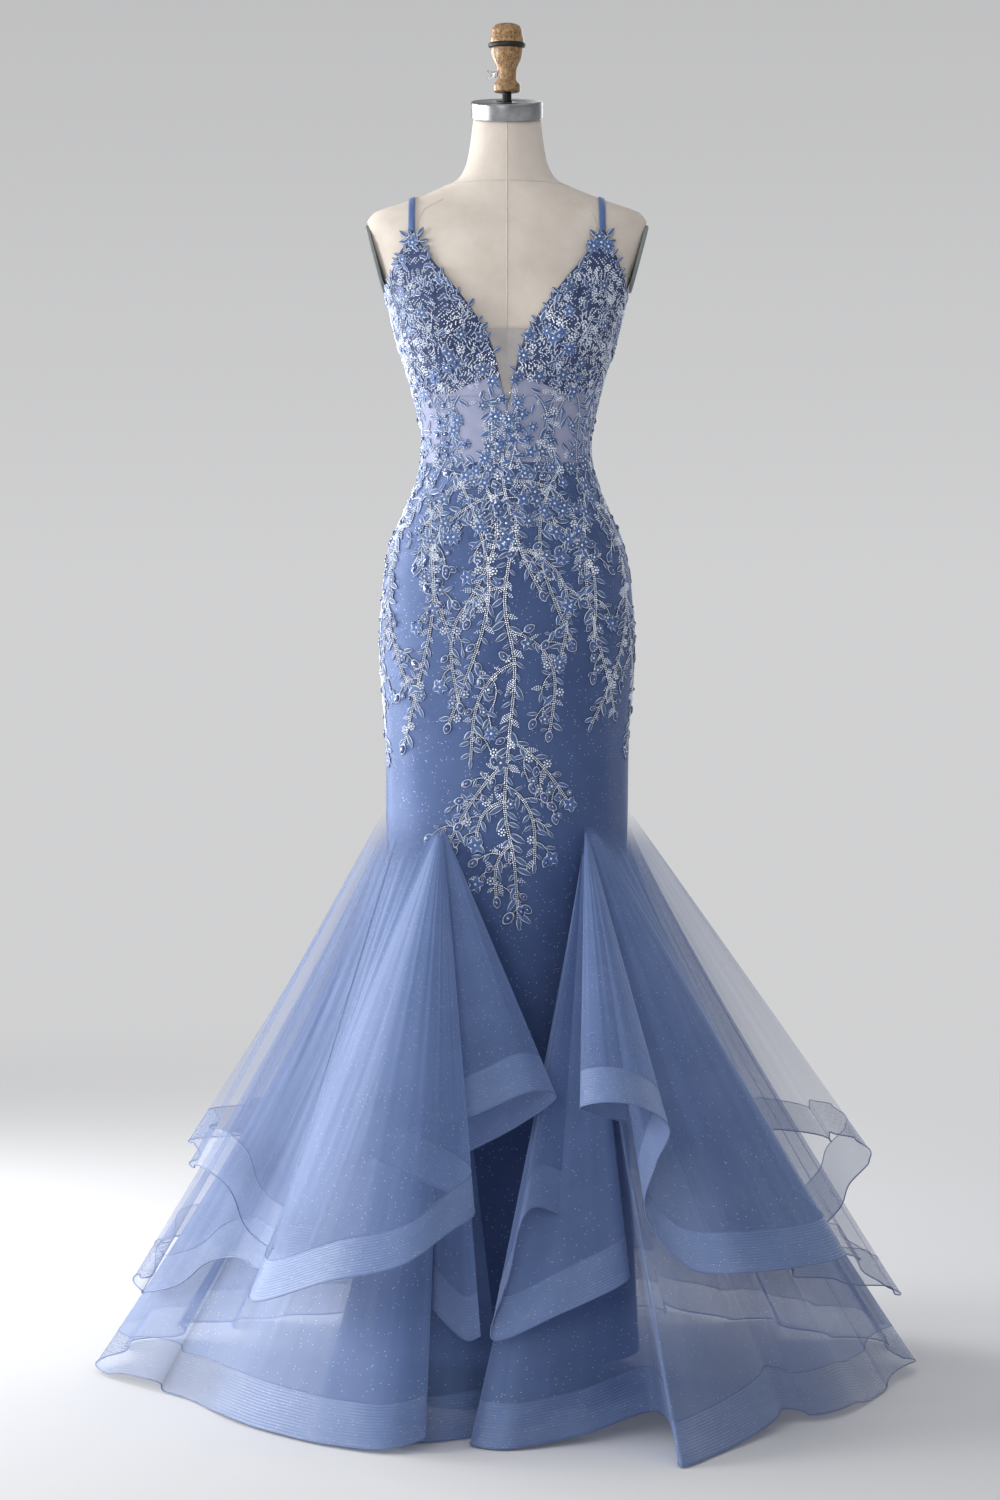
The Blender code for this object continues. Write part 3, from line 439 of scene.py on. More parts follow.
def tube(path, radius, sides):
    """A round cord's rings along a path of points, as a grid that closes round."""
    path = np.asarray(path, float)
    tangent = np.gradient(path, axis=0)
    tangent /= np.maximum(np.linalg.norm(tangent, axis=1, keepdims=True), 1e-12)
    up = np.where(np.abs(tangent[:, 2:]) > 0.9, [[1.0, 0.0, 0.0]], [[0.0, 0.0, 1.0]])
    side = np.cross(tangent, up)
    side /= np.linalg.norm(side, axis=1, keepdims=True)
    over = np.cross(side, tangent)
    c, s = ring_of(sides)
    return path[:, None] + (side[:, None] * c[None, :, None] + over[:, None] * s[None, :, None]) * radius


def length_of(path):
    return float(np.linalg.norm(np.diff(path, axis=0), axis=1).sum())


# ---------------------------------------------------------------- finishes


PATCH_EDGES = (0.32, 0.68)  # the noise at which a finish is all dark, and all light


def add_node(tree, kind, settings=(), *values, **inputs):
    """A node with its settings, and its sockets set or linked, in order or by name."""
    node = tree.nodes.new("ShaderNode" + kind)
    for setting, value in dict(settings).items():
        setattr(node, setting, value)
    set_sockets(node, {**dict(enumerate(values)), **inputs})
    return node


def set_sockets(node, inputs):
    """Sets a node's sockets, or links them where the value is another node's output."""
    for name, value in inputs.items():
        socket = node.inputs[name.replace("_", " ") if isinstance(name, str) else name]
        if isinstance(value, bpy.types.NodeSocket):
            node.id_data.links.new(value, socket)
        else:
            socket.default_value = value


def threads(tree, place, scale, way, wander):
    """Even waves of a scale across one direction."""
    way = dict(bands_direction=way)
    return add_node(tree, "TexWave", way, Vector=place, Scale=scale, Distortion=wander).outputs["Fac"]


def relief_height(tree, place, kind, across, along):
    """The height of a finish's ribs, weave or grain."""
    if kind == "ribs":
        return threads(tree, place, 1 / across / math.pi, "Y", 0.0)
    if kind == "grain":
        return add_node(tree, "TexNoise", Vector=place, Scale=1 / across, Detail=2.0).outputs["Fac"]
    warp = threads(tree, place, 1 / across, "X", 0.6)
    weft = threads(tree, place, 1 / along, "Y" if place.name == "UV" else "Z", 0.6)
    return add_node(tree, "Math", dict(operation="MULTIPLY"), warp, weft).outputs[0]


def finish(name, dark, light, patch, roughness, relief=None, specks=None, on="Object", **sockets):
    """A finish that varies between two colours in patches of a size in metres.

    relief is (kind, size across, size along, depth), and specks is (colour, spacing, size).
    """
    made = bpy.data.materials.new(name)
    made.use_nodes = True
    tree = made.node_tree
    shader = tree.nodes["Principled BSDF"]
    place = add_node(tree, "TexCoord").outputs[on]
    noise = add_node(tree, "TexNoise", Vector=place, Scale=1 / patch, Detail=4.0, Roughness=0.6)
    ramp = add_node(tree, "ValToRGB", Fac=noise.outputs["Fac"])
    for element, position, shade in zip(ramp.color_ramp.elements, PATCH_EDGES, (dark, light)):
        element.position = position
        element.color = (*shade, 1)
    colour = ramp.outputs["Color"]
    if specks:
        speck, spacing, size = specks
        cells = add_node(tree, "TexVoronoi", Vector=place, Scale=1 / spacing)
        near = add_node(tree, "Math", dict(operation="LESS_THAN"), cells.outputs["Distance"], size / spacing)
        mix = add_node(tree, "Mix", dict(data_type="RGBA"), Factor=near.outputs[0], A=colour, B=(*speck, 1))
        colour = mix.outputs["Result"]
    set_sockets(shader, {"Base_Color": colour, "Roughness": roughness, **sockets})
    if relief:
        *form, depth = relief
        height = relief_height(tree, place, *form)
        bump = add_node(tree, "Bump", Strength=0.6, Distance=depth, Height=height)
        set_sockets(shader, {"Normal": bump.outputs["Normal"]})
    return made


# Specks as (colour, spacing, size), and reliefs as (kind, size across, size along, depth).
GLITTER = ((0.80, 0.80, 0.84), 0.0046, 0.00048)
FLECKS = ((0.080, 0.040, 0.018), 0.0030, 0.0009)
WEAVE = ("weave", 0.0011, 0.0014, 0.0002)
NET = ("weave", 0.0016, 0.0016, 0.0003)
TAPE = ("weave", 0.0012, 0.0012, 0.0003)
LINEN = ("weave", 0.0014, 0.0014, 0.0004)
RIBS = ("ribs", 0.0040, 0, 0.0010)
GRAIN = ("grain", 0.0016, 0, 0.0003)
SATIN_SHEEN = dict(
    Metallic=0.25,
    Specular_IOR_Level=1.0,
    Specular_Tint=(0.62, 0.76, 1.0, 1),
    Sheen_Weight=0.85,
    Sheen_Roughness=0.34,
    Sheen_Tint=(0.56, 0.68, 1.0, 1),
)
NET_SHEEN = dict(Sheen_Weight=0.75, Sheen_Roughness=0.45, Sheen_Tint=(0.55, 0.68, 1.0, 1))
METAL = dict(Metallic=1.0)
CLOTH_LOOKS = (
    # name, dark colour, light colour, patch, roughness, relief, specks, other sockets
    ("satin", (0.085, 0.150, 0.37), (0.110, 0.180, 0.43), 0.09, 0.38, WEAVE, None, SATIN_SHEEN),
    ("glitter_satin", (0.037, 0.072, 0.205), (0.058, 0.100, 0.262), 0.11, 0.36, WEAVE, GLITTER, SATIN_SHEEN),
    ("cup_net", (0.024, 0.044, 0.13), (0.058, 0.092, 0.22), 0.016, 0.70, NET, None, {}),
    ("sheer_net", (0.450, 0.490, 0.72), (0.540, 0.580, 0.81), 0.030, 0.75, NET, None, dict(Alpha=0.60)),
    ("skin_mesh", (0.560, 0.540, 0.55), (0.640, 0.610, 0.61), 0.020, 0.85, NET, None, dict(Alpha=0.50)),
    ("tulle", (0.110, 0.185, 0.40), (0.150, 0.230, 0.47), 0.12, 0.60, None, GLITTER, NET_SHEEN),
    ("braid", (0.130, 0.205, 0.42), (0.165, 0.245, 0.47), 0.05, 0.42, RIBS, GLITTER, NET_SHEEN),
    ("zip_tape", (0.045, 0.090, 0.26), (0.070, 0.120, 0.31), 0.02, 0.75, TAPE, None, {}),
)
SOLID_LOOKS = (
    # name, dark colour, light colour, patch, roughness, grain's size and depth, other sockets
    ("hem_cord", (0.100, 0.155, 0.32), (0.150, 0.215, 0.41), 0.03, 0.45, 0.0010, 0.0003, {}),
    ("zip_metal", (0.520, 0.540, 0.60), (0.640, 0.660, 0.72), 0.004, 0.28, 0.0015, 0.0001, METAL),
    ("piping", (0.580, 0.520, 0.455), (0.690, 0.630, 0.565), 0.01, 0.90, 0.0010, 0.0003, {}),
    ("grey_plate", (0.190, 0.215, 0.21), (0.250, 0.275, 0.27), 0.03, 0.55, 0.0020, 0.0002, {}),
    ("brushed_steel", (0.250, 0.258, 0.27), (0.400, 0.408, 0.42), 0.02, 0.31, 0.0012, 0.00003, METAL),
    ("black_steel", (0.018, 0.018, 0.02), (0.04, 0.04, 0.04), 0.03, 0.45, 0.0012, 0.0002, dict(Metallic=0.6)),
    ("chrome", (0.700, 0.710, 0.73), (0.800, 0.810, 0.83), 0.01, 0.12, 0.0020, 0.0001, METAL),
    ("silver_bead", (0.700, 0.790, 0.97), (0.940, 0.975, 1.00), 0.004, 0.20, 0.0010, 0.0001,
     dict(Metallic=0.15, Coat_Weight=0.5)),
    ("silver_thread", (0.520, 0.610, 0.81), (0.770, 0.840, 0.99), 0.006, 0.36, 0.0008, 0.0002,
     dict(Metallic=0.15)),
    ("grey_thread", (0.050, 0.095, 0.22), (0.100, 0.160, 0.34), 0.006, 0.55, 0.0008, 0.0003, {}),
    ("blue_thread", (0.045, 0.105, 0.29), (0.095, 0.175, 0.41), 0.007, 0.50, 0.0008, 0.0003,
     dict(Sheen_Weight=0.2)),
    ("blue_gem", (0.025, 0.060, 0.19), (0.060, 0.110, 0.30), 0.012, 0.12, 0.0040, 0.0002,
     dict(Coat_Weight=0.8)),
    # a dark navy net laid round the lace motifs as their painted shadow
    ("shadow_net", (0.012, 0.022, 0.07), (0.026, 0.046, 0.12), 0.006, 0.80, 0.0008, 0.0002, {}),
)
LOOKS = {row[0]: finish(*row[:-1], on="UV", **row[-1]) for row in CLOTH_LOOKS}
for *row, grain, depth, sockets in SOLID_LOOKS:
    LOOKS[row[0]] = finish(*row, ("grain", grain, 0, depth), **sockets)
LOOKS["linen"] = finish(
    "linen", (0.730, 0.645, 0.565), (0.830, 0.755, 0.675), 0.05, 0.90, LINEN, Sheen_Weight=0.15
)
LOOKS["beech"] = finish(
    "beech", (0.190, 0.095, 0.035), (0.480, 0.290, 0.12), 0.006, 0.42, GRAIN, FLECKS, Coat_Weight=0.35
)


def see_through(look):
    """Makes a net as open as its cloth's cover attribute says."""
    tree = LOOKS[look].node_tree
    cover = add_node(tree, "Attribute", dict(attribute_name="cover"))
    set_sockets(tree.nodes["Principled BSDF"], {"Alpha": cover.outputs["Fac"]})


see_through("tulle")
see_through("braid")


# ---------------------------------------------------------------- the dress form

TURNED_SIDES = 96


def torso_surface(turn, height, out=0.0):
    """The linen's surface, with its arm flats and its slanting neck."""
    points = figure(turn, height, out - EASE)
    x, y, z = (points[..., axis] for axis in range(3))
    flat = ARM_FLAT_OUT - (ARM_FLAT_TOP - z) * ARM_FLAT_LEAN
    beside = (z > ARM_FLAT_BOTTOM) & (z < ARM_FLAT_TOP + ARM_FLAT_EDGE)
    points[..., 0] = np.where(beside, np.clip(x, -flat, flat), x)
    slant = np.clip((z - NECK_ROOT) / (NECK_TOP - NECK_ROOT), 0, None)
    points[..., 2] += y * math.tan(NECK_TILT) * slant
    return points


def turned(pile, profile, at, tilt):
    """A turned piece: profile is (radius, height) round its outline, starting and ending on the axis."""
    ring = np.stack([*ring_of(TURNED_SIDES), np.zeros(TURNED_SIDES)], -1)
    points = np.array([ring * radius + [0, 0, height] for radius, height in profile])
    y, z = points[..., 1].copy(), points[..., 2].copy()
    points[..., 1] = y * math.cos(tilt) - z * math.sin(tilt)
    points[..., 2] = y * math.sin(tilt) + z * math.cos(tilt)
    pile.grid(points + np.array(at), around=True)


def rounded(profile, radius, steps=3):
    """A turned outline with its corners rounded off."""
    found = [profile[0]]
    for before, corner, after in zip(profile, profile[1:], profile[2:]):
        before, corner, after = map(np.array, (before, corner, after))
        a, b = before - corner, after - corner
        reach = min(radius, np.linalg.norm(a) * 0.4, np.linalg.norm(b) * 0.4)
        a = corner + a / max(np.linalg.norm(a), 1e-9) * reach
        b = corner + b / max(np.linalg.norm(b), 1e-9) * reach
        for t in np.linspace(0, 1, steps):
            found.append(tuple(a * (1 - t) ** 2 + corner * 2 * t * (1 - t) + b * t * t))
    return [*found, profile[-1]]


def build_torso():
    """The linen torso with its piped seams."""
    heights = np.concatenate([spread(*band) for band in TORSO_BANDS])
    turns = spread(-180, 180, 144)[:-1]
    pile = Pile()
    grid = torso_surface(turns[None], heights[:, None])
    top = np.broadcast_to(grid[-1:].mean(axis=1, keepdims=True), grid[-1:].shape)
    pile.grid(np.concatenate([grid[:1] * [0, 0, 1], grid, top]), around=True)
    for turn in TORSO_SEAMS:
        top = NECK_TOP if abs(turn) in (0.0, 90.0, 180.0) else SHOULDER_SEAM_TOP
        path = torso_surface(turn, spread(FORM_BOTTOM + 0.01, top - 0.002, 150), -PIPING_SUNK)
        pile.grid(tube(path, PIPING, 6), 1, around=True)
    around = spread(-180, 180, 180)
    seam = NECK_SEAM + NECK_SEAM_RISE * np.cos(np.radians(around))
    path = torso_surface(around, seam, -PIPING_SUNK)
    pile.grid(tube(path, PIPING, 6), 1, around=True)
    pile.stand_for(["form_torso"], "torso", ["linen", "piping"], "linen")


# The turned pieces' outlines, round the axis and back to it, as (radius, height).
NECK_CAP = (
    (0, 0), (0.0464, 0), (0.0472, 0.0008), (0.0472, 0.0207), (0.0454, 0.0225),
    (0.0150, 0.0225), (0.0140, 0.0215), (0.0140, 0.0165), (0, 0.0165),
)
FINIAL_BODY = (
    (0, 0.036), (0.0066, 0.036), (0.0066, 0), (0.0160, 0), (0.0177, 0.0020), (0.0179, 0.0060),
    (0.0177, 0.0105), (0.0150, 0.0130), (0.0129, 0.0155), (0.0126, 0.0205), (0.0128, 0.0260),
    (0.0134, 0.0315), (0.0165, 0.0375), (0.0198, 0.0450), (0.0212, 0.0530), (0.0215, 0.0585),
    (0, 0.0585),
)
FINIAL_RING = (
    (0, 0.0588), (0.0236, 0.0588), (0.0245, 0.0600), (0.0245, 0.0630), (0.0236, 0.0642), (0, 0.0642),
)
FINIAL_CAP_SIDE = ((0, 0.0645), (0.0226, 0.0645), (0.0222, 0.0690), (0.0212, 0.0745))
DOME_RADIUS = 0.0204
DOME_FOOT = 0.0785
DOME_HEIGHT = 0.0119
DOME_TOP = 0.0904
ROD_THREAD = (0.0062, 0.0057, 0.0020)  # radius, its root's radius, pitch


def threaded(radius, root, pitch, length):
    """The outline of a threaded rod."""
    profile = [(0, 0), (radius, 0)]
    for k in range(int(length / pitch)):
        for share, reach in ((0.4, radius), (0.65, root), (0.9, radius)):
            profile.append((reach, pitch * (k + share)))
    return [*profile, (radius, length), (0, length)]


def build_form():
    """The torso, the neck's cap and rod, the finial, and the finishes of the model's own small pieces."""
    build_torso()
    rod_low, rod_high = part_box("neck_rod")
    finial_low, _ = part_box("finial_body")
    rod_y = (rod_low.y + rod_high.y) / 2
    cap_at, rod_at, finial_at = (0, 0, NECK_TOP + GAP), (0, rod_y, rod_low.z), (0, rod_y, finial_low.z)
    rod = threaded(*ROD_THREAD, rod_high.z - rod_low.z)
    crown = [
        (DOME_RADIUS * math.cos(a) ** 0.6, DOME_FOOT + DOME_HEIGHT * math.sin(a))
        for a in np.radians(spread(0, 84, 14))
    ]
    dome = [*FINIAL_CAP_SIDE, *crown, (0, DOME_TOP)]
    for node, name, look, outline, corner, at, tilt, sharp in (
        ("neck_cap", "neck_cap_steel", "brushed_steel", NECK_CAP, 0.0006, cap_at, NECK_TILT, 40),
        ("neck_rod", "neck_rod_steel", "black_steel", rod, 0, rod_at, 0, 40),
        ("finial_body", "finial_body_turned", "beech", FINIAL_BODY, 0.0020, finial_at, 0, 50),
        ("finial_ring", "finial_ring_turned", "black_steel", FINIAL_RING, 0.0008, finial_at, 0, 50),
        ("finial_cap", "finial_cap_turned", "beech", dome, 0.0012, finial_at, 0, 50),
    ):
        pile = Pile()
        turned(pile, rounded(outline, corner) if corner else outline, at, tilt)
        pile.stand_for([node], name, [look], look, sharp)
    for node, look in (
        ("wing_screw", "chrome"),
        ("arm_plate_left", "grey_plate"),
        ("arm_plate_right", "grey_plate"),
        ("stand_base", "black_steel"),
        ("stand_pole", "brushed_steel"),
        ("zip_slider", "zip_metal"),
        ("zip_pull", "zip_metal"),
    ):
        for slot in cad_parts[node].material_slots:
            slot.material = LOOKS[look]


# ---------------------------------------------------------------- the fitted cloth

SIDES = (("left", -1), ("right", 1))
SEAM_GAP = 0.08  # degrees
CENTRE_BACK_GAP = 0.1
CUP_START = 2.4
CUP_FOOT_LIFT = 0.003
CUP_FOOT_CURVE = (34, 24)  # the turn where the cup's foot starts to rise, and over how many degrees
CUP_AIR = 0.0002  # between the cup's net and its beaded cloth
LEAST_CUP = 0.0015
SHOULDER = (1.548, 1.594)  # the heights between which the shoulder's ridge lies
STRAP_BACK = 1.39
STRAP_STEPS = 36
ZIP_DEGREE = 0.0017  # metres to a degree of turn at the zip
ZIP_END = 0.002
COIL_THREAD = 0.00028
COIL_DEPTH = 0.00035
COIL_LIFT = 0.0002
INSERT_WALL = 0.0008
INSERT_INSET = 0.3
WRINKLES = (
    # how many across a radian, lean per metre, phase, share
    (7.0, 3.0, 0.4, 0.30),
    (11.0, -5.0, 2.1, 0.25),
    (17.0, 4.0, 1.2, 0.20),
    (5.0, 11.0, 3.0, 0.25),
)
WRINKLE_DEPTH = 0.0022
RUFFLE_SEAM = 0.745
SEAM_CALM = 0.045  # the heights over which wrinkles calm at the ruffles' seam and at the waist
WAIST_CALM = 0.06


def skirt_surface(turn, height, out=0.0):
    """The sheath's satin: the figure with soft, nearly upright wrinkles sunk in it."""
    wave = sum(
        share * np.sin(np.radians(turn) * many + lean * height + phase)
        for many, lean, phase, share in WRINKLES
    )
    seam = np.exp(-(((height - RUFFLE_SEAM) / SEAM_CALM) ** 2))
    waist = np.clip((WAIST_SEAM - height) / WAIST_CALM, 0, 1)
    return figure(turn, height, out - WRINKLE_DEPTH * (0.5 - 0.5 * wave) * (1 - 0.7 * seam) * waist)


def metre_grid(grid):
    """The grid's place in metres across and down, for its weave."""
    across = np.linalg.norm(np.diff(grid, axis=1), axis=-1).mean(axis=0)
    down = np.linalg.norm(np.diff(grid, axis=0), axis=-1).mean(axis=1)
    u = np.concatenate([[0], np.cumsum(across)])
    v = np.concatenate([[0], np.cumsum(down)])
    return np.stack(np.broadcast_arrays(u[None, :], v[:, None]), -1)


def declare(piece, grid):
    """Works out the length of a sheet's longest column, and keeps nothing."""
    length = max(length_of(column) for column in grid.transpose(1, 0, 2))


def add_panel(pile, turns, low, high, rows, on=figure, slot=0):
    """Adds a fitted wall between two edges, each a function of the turn, and returns its outer skin."""
    share = spread(0, 1, rows)[:, None]
    heights = low(turns)[None] * (1 - share) + high(turns)[None] * share
    inner, outer = (on(turns[None] + 0 * heights, heights, out) for out in (GAP, GAP + SATIN))
    walls = (inner, outer) if turns[-1] > turns[0] else (outer, inner)
    pile.wall(*walls, slot, metre_grid(outer))
    return outer


def fitted(name, node, look, slot, turns, low, high, rows, on=figure, held="stretched"):
    """A fitted panel of one look."""
    pile = Pile()
    outer = add_panel(pile, turns, low, high, rows, on)
    declare(pile.stand_for([node], name, [look], slot), outer)


def level(height):
    return lambda turn: np.full(np.shape(turn), height)


def cup_foot(turn):
    """The curved lower edge of the beaded cup, above the sheer net."""
    turn = np.abs(turn)
    start, over = CUP_FOOT_CURVE
    curve = CUP_SEAM + CUP_FOOT_LIFT + CUP_FOOT_RISE * np.clip((start - turn) / over, 0, 1) ** 0.7
    return np.minimum(curve, top_edge(turn) - LEAST_CUP)


def shoulder_line(across):
    """Points on the figure over the shoulder at a distance from the middle, from the cup to the back."""
    heights = spread(*SHOULDER, 200)
    ridge = float(np.interp(-across, -curve_at(SECTIONS, 1, heights), heights))
    back_end = STRAP_BACK
    for _ in range(8):
        half = float(curve_at(SECTIONS, 1, back_end))
        back_end = float(top_edge(180 - math.degrees(math.asin(across / half)))) + GAP
    lines = []
    for end, column, sign in ((ARMHOLE[0][1] + GAP, 2, -1), (back_end, 3, 1)):
        height = ridge - (ridge - end) * spread(0, 1, STRAP_STEPS) ** 2
        reach = np.sqrt(np.maximum(0, 1 - (across / curve_at(SECTIONS, 1, height)) ** 2))
        forward = sign * curve_at(SECTIONS, column, height) * reach
        lines.append(np.stack([across + 0 * height, forward, height], -1))
    return np.concatenate([lines[0][:0:-1], lines[1]])


def build_straps():
    """The narrow satin straps over the shoulders."""
    shares = spread(-0.5, 0.5, 4)
    inner = np.stack([shoulder_line(STRAP_ACROSS + STRAP_WIDTH * share) for share in shares], 1)
    normals = grid_normals(inner)
    normals *= np.sign(normals[len(normals) // 2, 2, 2])
    crown = STRAP_WALL + STRAP_CROWN * (1 - (2 * shares) ** 2)
    outer = inner + normals * crown[None, :, None]
    for name, side in SIDES:
        pile = Pile()
        grids = [grid * [side, 1, 1] for grid in (inner, outer)]
        pile.wall(*(grids if side < 0 else grids[::-1]), uv=metre_grid(outer))
        strap = pile.stand_for([f"strap_{name}"], f"satin_strap_{name}", ["satin"], "satin")
        declare(strap, outer)


def build_zip():
    """The zip's woven tape and its coil of teeth."""
    top = float(top_edge(180))
    heights = spread(ZIP_BOTTOM, top, 70)
    half = ZIP_HALF_GAP - GAP / ZIP_DEGREE
    turns = 180 + half * spread(-1, 1, 4)
    inner, outer = (figure(turns[None], heights[:, None], out) for out in (GAP, GAP + ZIP_WALL))
    pile = Pile()
    pile.wall(inner, outer, uv=metre_grid(outer))
    length = top - ZIP_BOTTOM - 2 * ZIP_END
    turns = ZIP_TURNS_PER_METRE * length
    along = spread(0, 1, int(turns * 8))
    at = figure(180, ZIP_BOTTOM + ZIP_END + along * length, GAP + ZIP_WALL + COIL_LIFT)
    spin = along * turns * 2 * math.pi
    coil = at + np.stack([ZIP_COIL * np.cos(spin), COIL_DEPTH * np.sin(spin), 0 * spin], -1)
    pile.grid(tube(coil, COIL_THREAD, 5), 1, around=True)
    tape = pile.stand_for(["zip_tape"], "zip_tape_and_coil", ["zip_tape", "zip_metal"], "zip_tape")
    declare(tape, outer)


def build_insert():
    """The skin-toned mesh in the plunge."""
    heights = spread(INSERT_BOTTOM, INSERT_TOP, 30)
    reach = np.interp(heights, [z for _, z in PLUNGE], [turn for turn, _ in PLUNGE]) - INSERT_INSET
    turns = spread(-1, 1, 24)[None] * reach[:, None]
    inner, outer = (figure(turns, heights[:, None], out) for out in (GAP, GAP + INSERT_WALL))
    pile = Pile()
    pile.wall(inner, outer, uv=metre_grid(outer))
    insert = pile.stand_for(["neck_insert"], "neck_insert_mesh", ["skin_mesh"], "skin_mesh")
    declare(insert, outer)


def corset_top(turn):
    return np.minimum(CUP_SEAM, top_edge(turn))


def build_cloth():
    """The bodice's and the sheath's panels."""
    side = 90 - SEAM_GAP
    waist, hem = level(WAIST_SEAM), level(SHEATH_HEM)
    cup_corners = [turn for turn, _ in (*PLUNGE[1:], *ARMHOLE[1:-1])]
    cup_turns = np.sort(np.concatenate([spread(CUP_START, side, 90), cup_corners]))
    back = spread(180 - side, 180 - ZIP_HALF_GAP, 60)
    skirt_back = spread(180 - side, 180 - CENTRE_BACK_GAP, 64)
    front = spread(-side, side, 150)
    hung = dict(on=skirt_surface, held="hung")
    glitter = ("glitter_satin", "glitter_satin")
    for name, sign in SIDES:
        pile = Pile()
        skins = [
            add_panel(pile, sign * cup_turns, level(CUP_SEAM), cup_foot, 5, slot=1),
            add_panel(pile, sign * cup_turns, lambda turn: cup_foot(turn) + CUP_AIR, top_edge, 40),
        ]
        cup = pile.stand_for([f"cup_{name}"], f"cup_cloth_{name}", ["cup_net", "sheer_net"], "beaded_lace")
        declare(cup, np.concatenate(skins))
        bodice = (f"back_cloth_{name}", f"bodice_back_{name}", "glitter_satin", "satin")
        fitted(*bodice, sign * back, waist, top_edge, 36)
        skirt = (f"sheath_back_{name}", f"skirt_back_{name}", *glitter)
        fitted(*skirt, sign * skirt_back, hem, waist, 80, **hung)
    fitted("corset_net", "corset_front", "sheer_net", "sheer_net", front, waist, corset_top, 26)
    fitted("sheath_front", "skirt_front", *glitter, front, hem, waist, 90, **hung)
    build_straps()
    build_zip()
    build_insert()


# ---------------------------------------------------------------- the ruffles

PLEAT_STEPS = 16
FULL_TURN = 6.28
NET_COVER = {"upper": (0.46, 0.16), "middle": (0.56, 0.26), "floor": (0.62, 0.60)}  # in front, and behind
BAND_COVER = (0.84, 0.42)
NET_FULLNESS = 1.3  # how many more times over the net lies at the seam than at the hem
COVER_FADE = {-1: 14.0, 1: 27.0}  # degrees over which each side's net thins behind its front folds
TULLE_ROWS = 26
BRAID_ROWS = 8
HEM_CORD = 0.0009
TOP_CORD = 0.0005
CURL = 0.030
CURL_GROWS = 12  # degrees over which the curls grow behind the front folds
CURL_FADES = 10  # degrees over which they fade at the ruffle's end
CURL_RISE = 0.5
SIDE_END = 100  # the last side fold's turn
BACK_GROWS = 15  # degrees over which the curls reach the back folds' full size
FLOOR_CLEARANCE = 0.003
PLEAT_DEPTH = 0.0014
PLEATS = ((2.3, 0.5), (3.7, 0.35), (5.3, 0.15))  # how many to a fold, and their share
STREAK = 0.14
STREAK_BLUR = (0.25, 0.5, 0.25)
FOLD_FADE = 2.5  # degrees
NET_START = 0.012  # how far down the net thickens from nothing, at the front folds and elsewhere
NET_START_REST = 0.050

# Where each fold meets the seam: the front folds are gathered to one point on each side.
SEAM_GATHER = {
    # fold's turn, its turn at the seam
    -1: ((15.0, 29.2), (27.0, 30.2), (48.0, 32.6), (58.0, 55.0), (68.0, 68.0), (180.0, 180.0)),
    1: ((15.0, 37.8), (27.0, 38.7), (47.0, 41.0), (58.0, 56.0), (68.0, 68.0), (180.0, 180.0)),
}


def back_rows(tier):
    """The even flutes from behind the side to the centre back: crests and dips in turn."""
    rows = []
    for k in range(1, BACK_FOLDS + 1):
        turn = BACK_FIRST_SEAM + (BACK_LAST_SEAM - BACK_FIRST_SEAM) * k / BACK_FOLDS
        reach = tier["crest"] if k % 2 else tier["dip"]
        across = BACK_MIDDLE if k == BACK_FOLDS else reach * math.sin(math.radians(turn))
        rise = tier["lift"] * max(0.0, 1 - (turn - BACK_FIRST_SEAM) / BACK_LIFT_FADE)
        rows.append((turn, across, reach * math.cos(math.radians(turn)), tier["height"] + rise))
    return rows


def fluted(line, rng, side_from):
    """The hem's line behind a turn at its front, with each of its folds curled round at its end."""
    where = np.arange(len(line)) / PLEAT_STEPS
    tangent = np.gradient(line[:, 1:3], axis=0)
    pace = np.linalg.norm(tangent, axis=1)
    tangent /= np.maximum(pace, 1e-9)[:, None]
    turn = line[:, 0]
    share = np.clip((turn - side_from) / CURL_GROWS, 0, 1) * np.clip((turn[-1] - turn) / CURL_FADES, 0, 1)
    share = share * CURL * (0.8 + 0.35 * np.sin(where * 1.7 + rng.uniform(0, FULL_TURN)))
    share = share * (0.55 + 0.45 * np.clip((turn - SIDE_END) / BACK_GROWS, 0, 1))
    line = line.copy()
    line[:, 1:3] += tangent * (share * np.sin(2 * math.pi * where))[:, None]
    rise = share * CURL_RISE * np.sin(math.pi * where + rng.uniform(0, FULL_TURN))
    line[:, 3] = np.maximum(line[:, 3] + rise, FLOOR_CLEARANCE)
    return line


def net_cover(rng, tier_name, side, turn, front_until, shares, begun):
    """How much of the light the net and its band stop. The net is closer at the seam and streaks down."""
    streaks = np.array([rng.uniform(-1, 1) for _ in turn])
    streaks = np.convolve(streaks, STREAK_BLUR, "same")
    dense = 1 - np.clip((turn - front_until) / COVER_FADE[side], 0, 1)[None]
    front, back = NET_COVER[tier_name]
    cover = back + (front - back) * dense
    cover = 1 - (1 - cover) ** (1 + NET_FULLNESS * (1 - shares))
    cover = cover * (1 + STREAK * streaks[None] * (1 - 0.5 * shares)) * begun
    front, back = BAND_COVER
    return cover, back + (front - back) * dense + np.zeros((BRAID_ROWS + 1, 1))


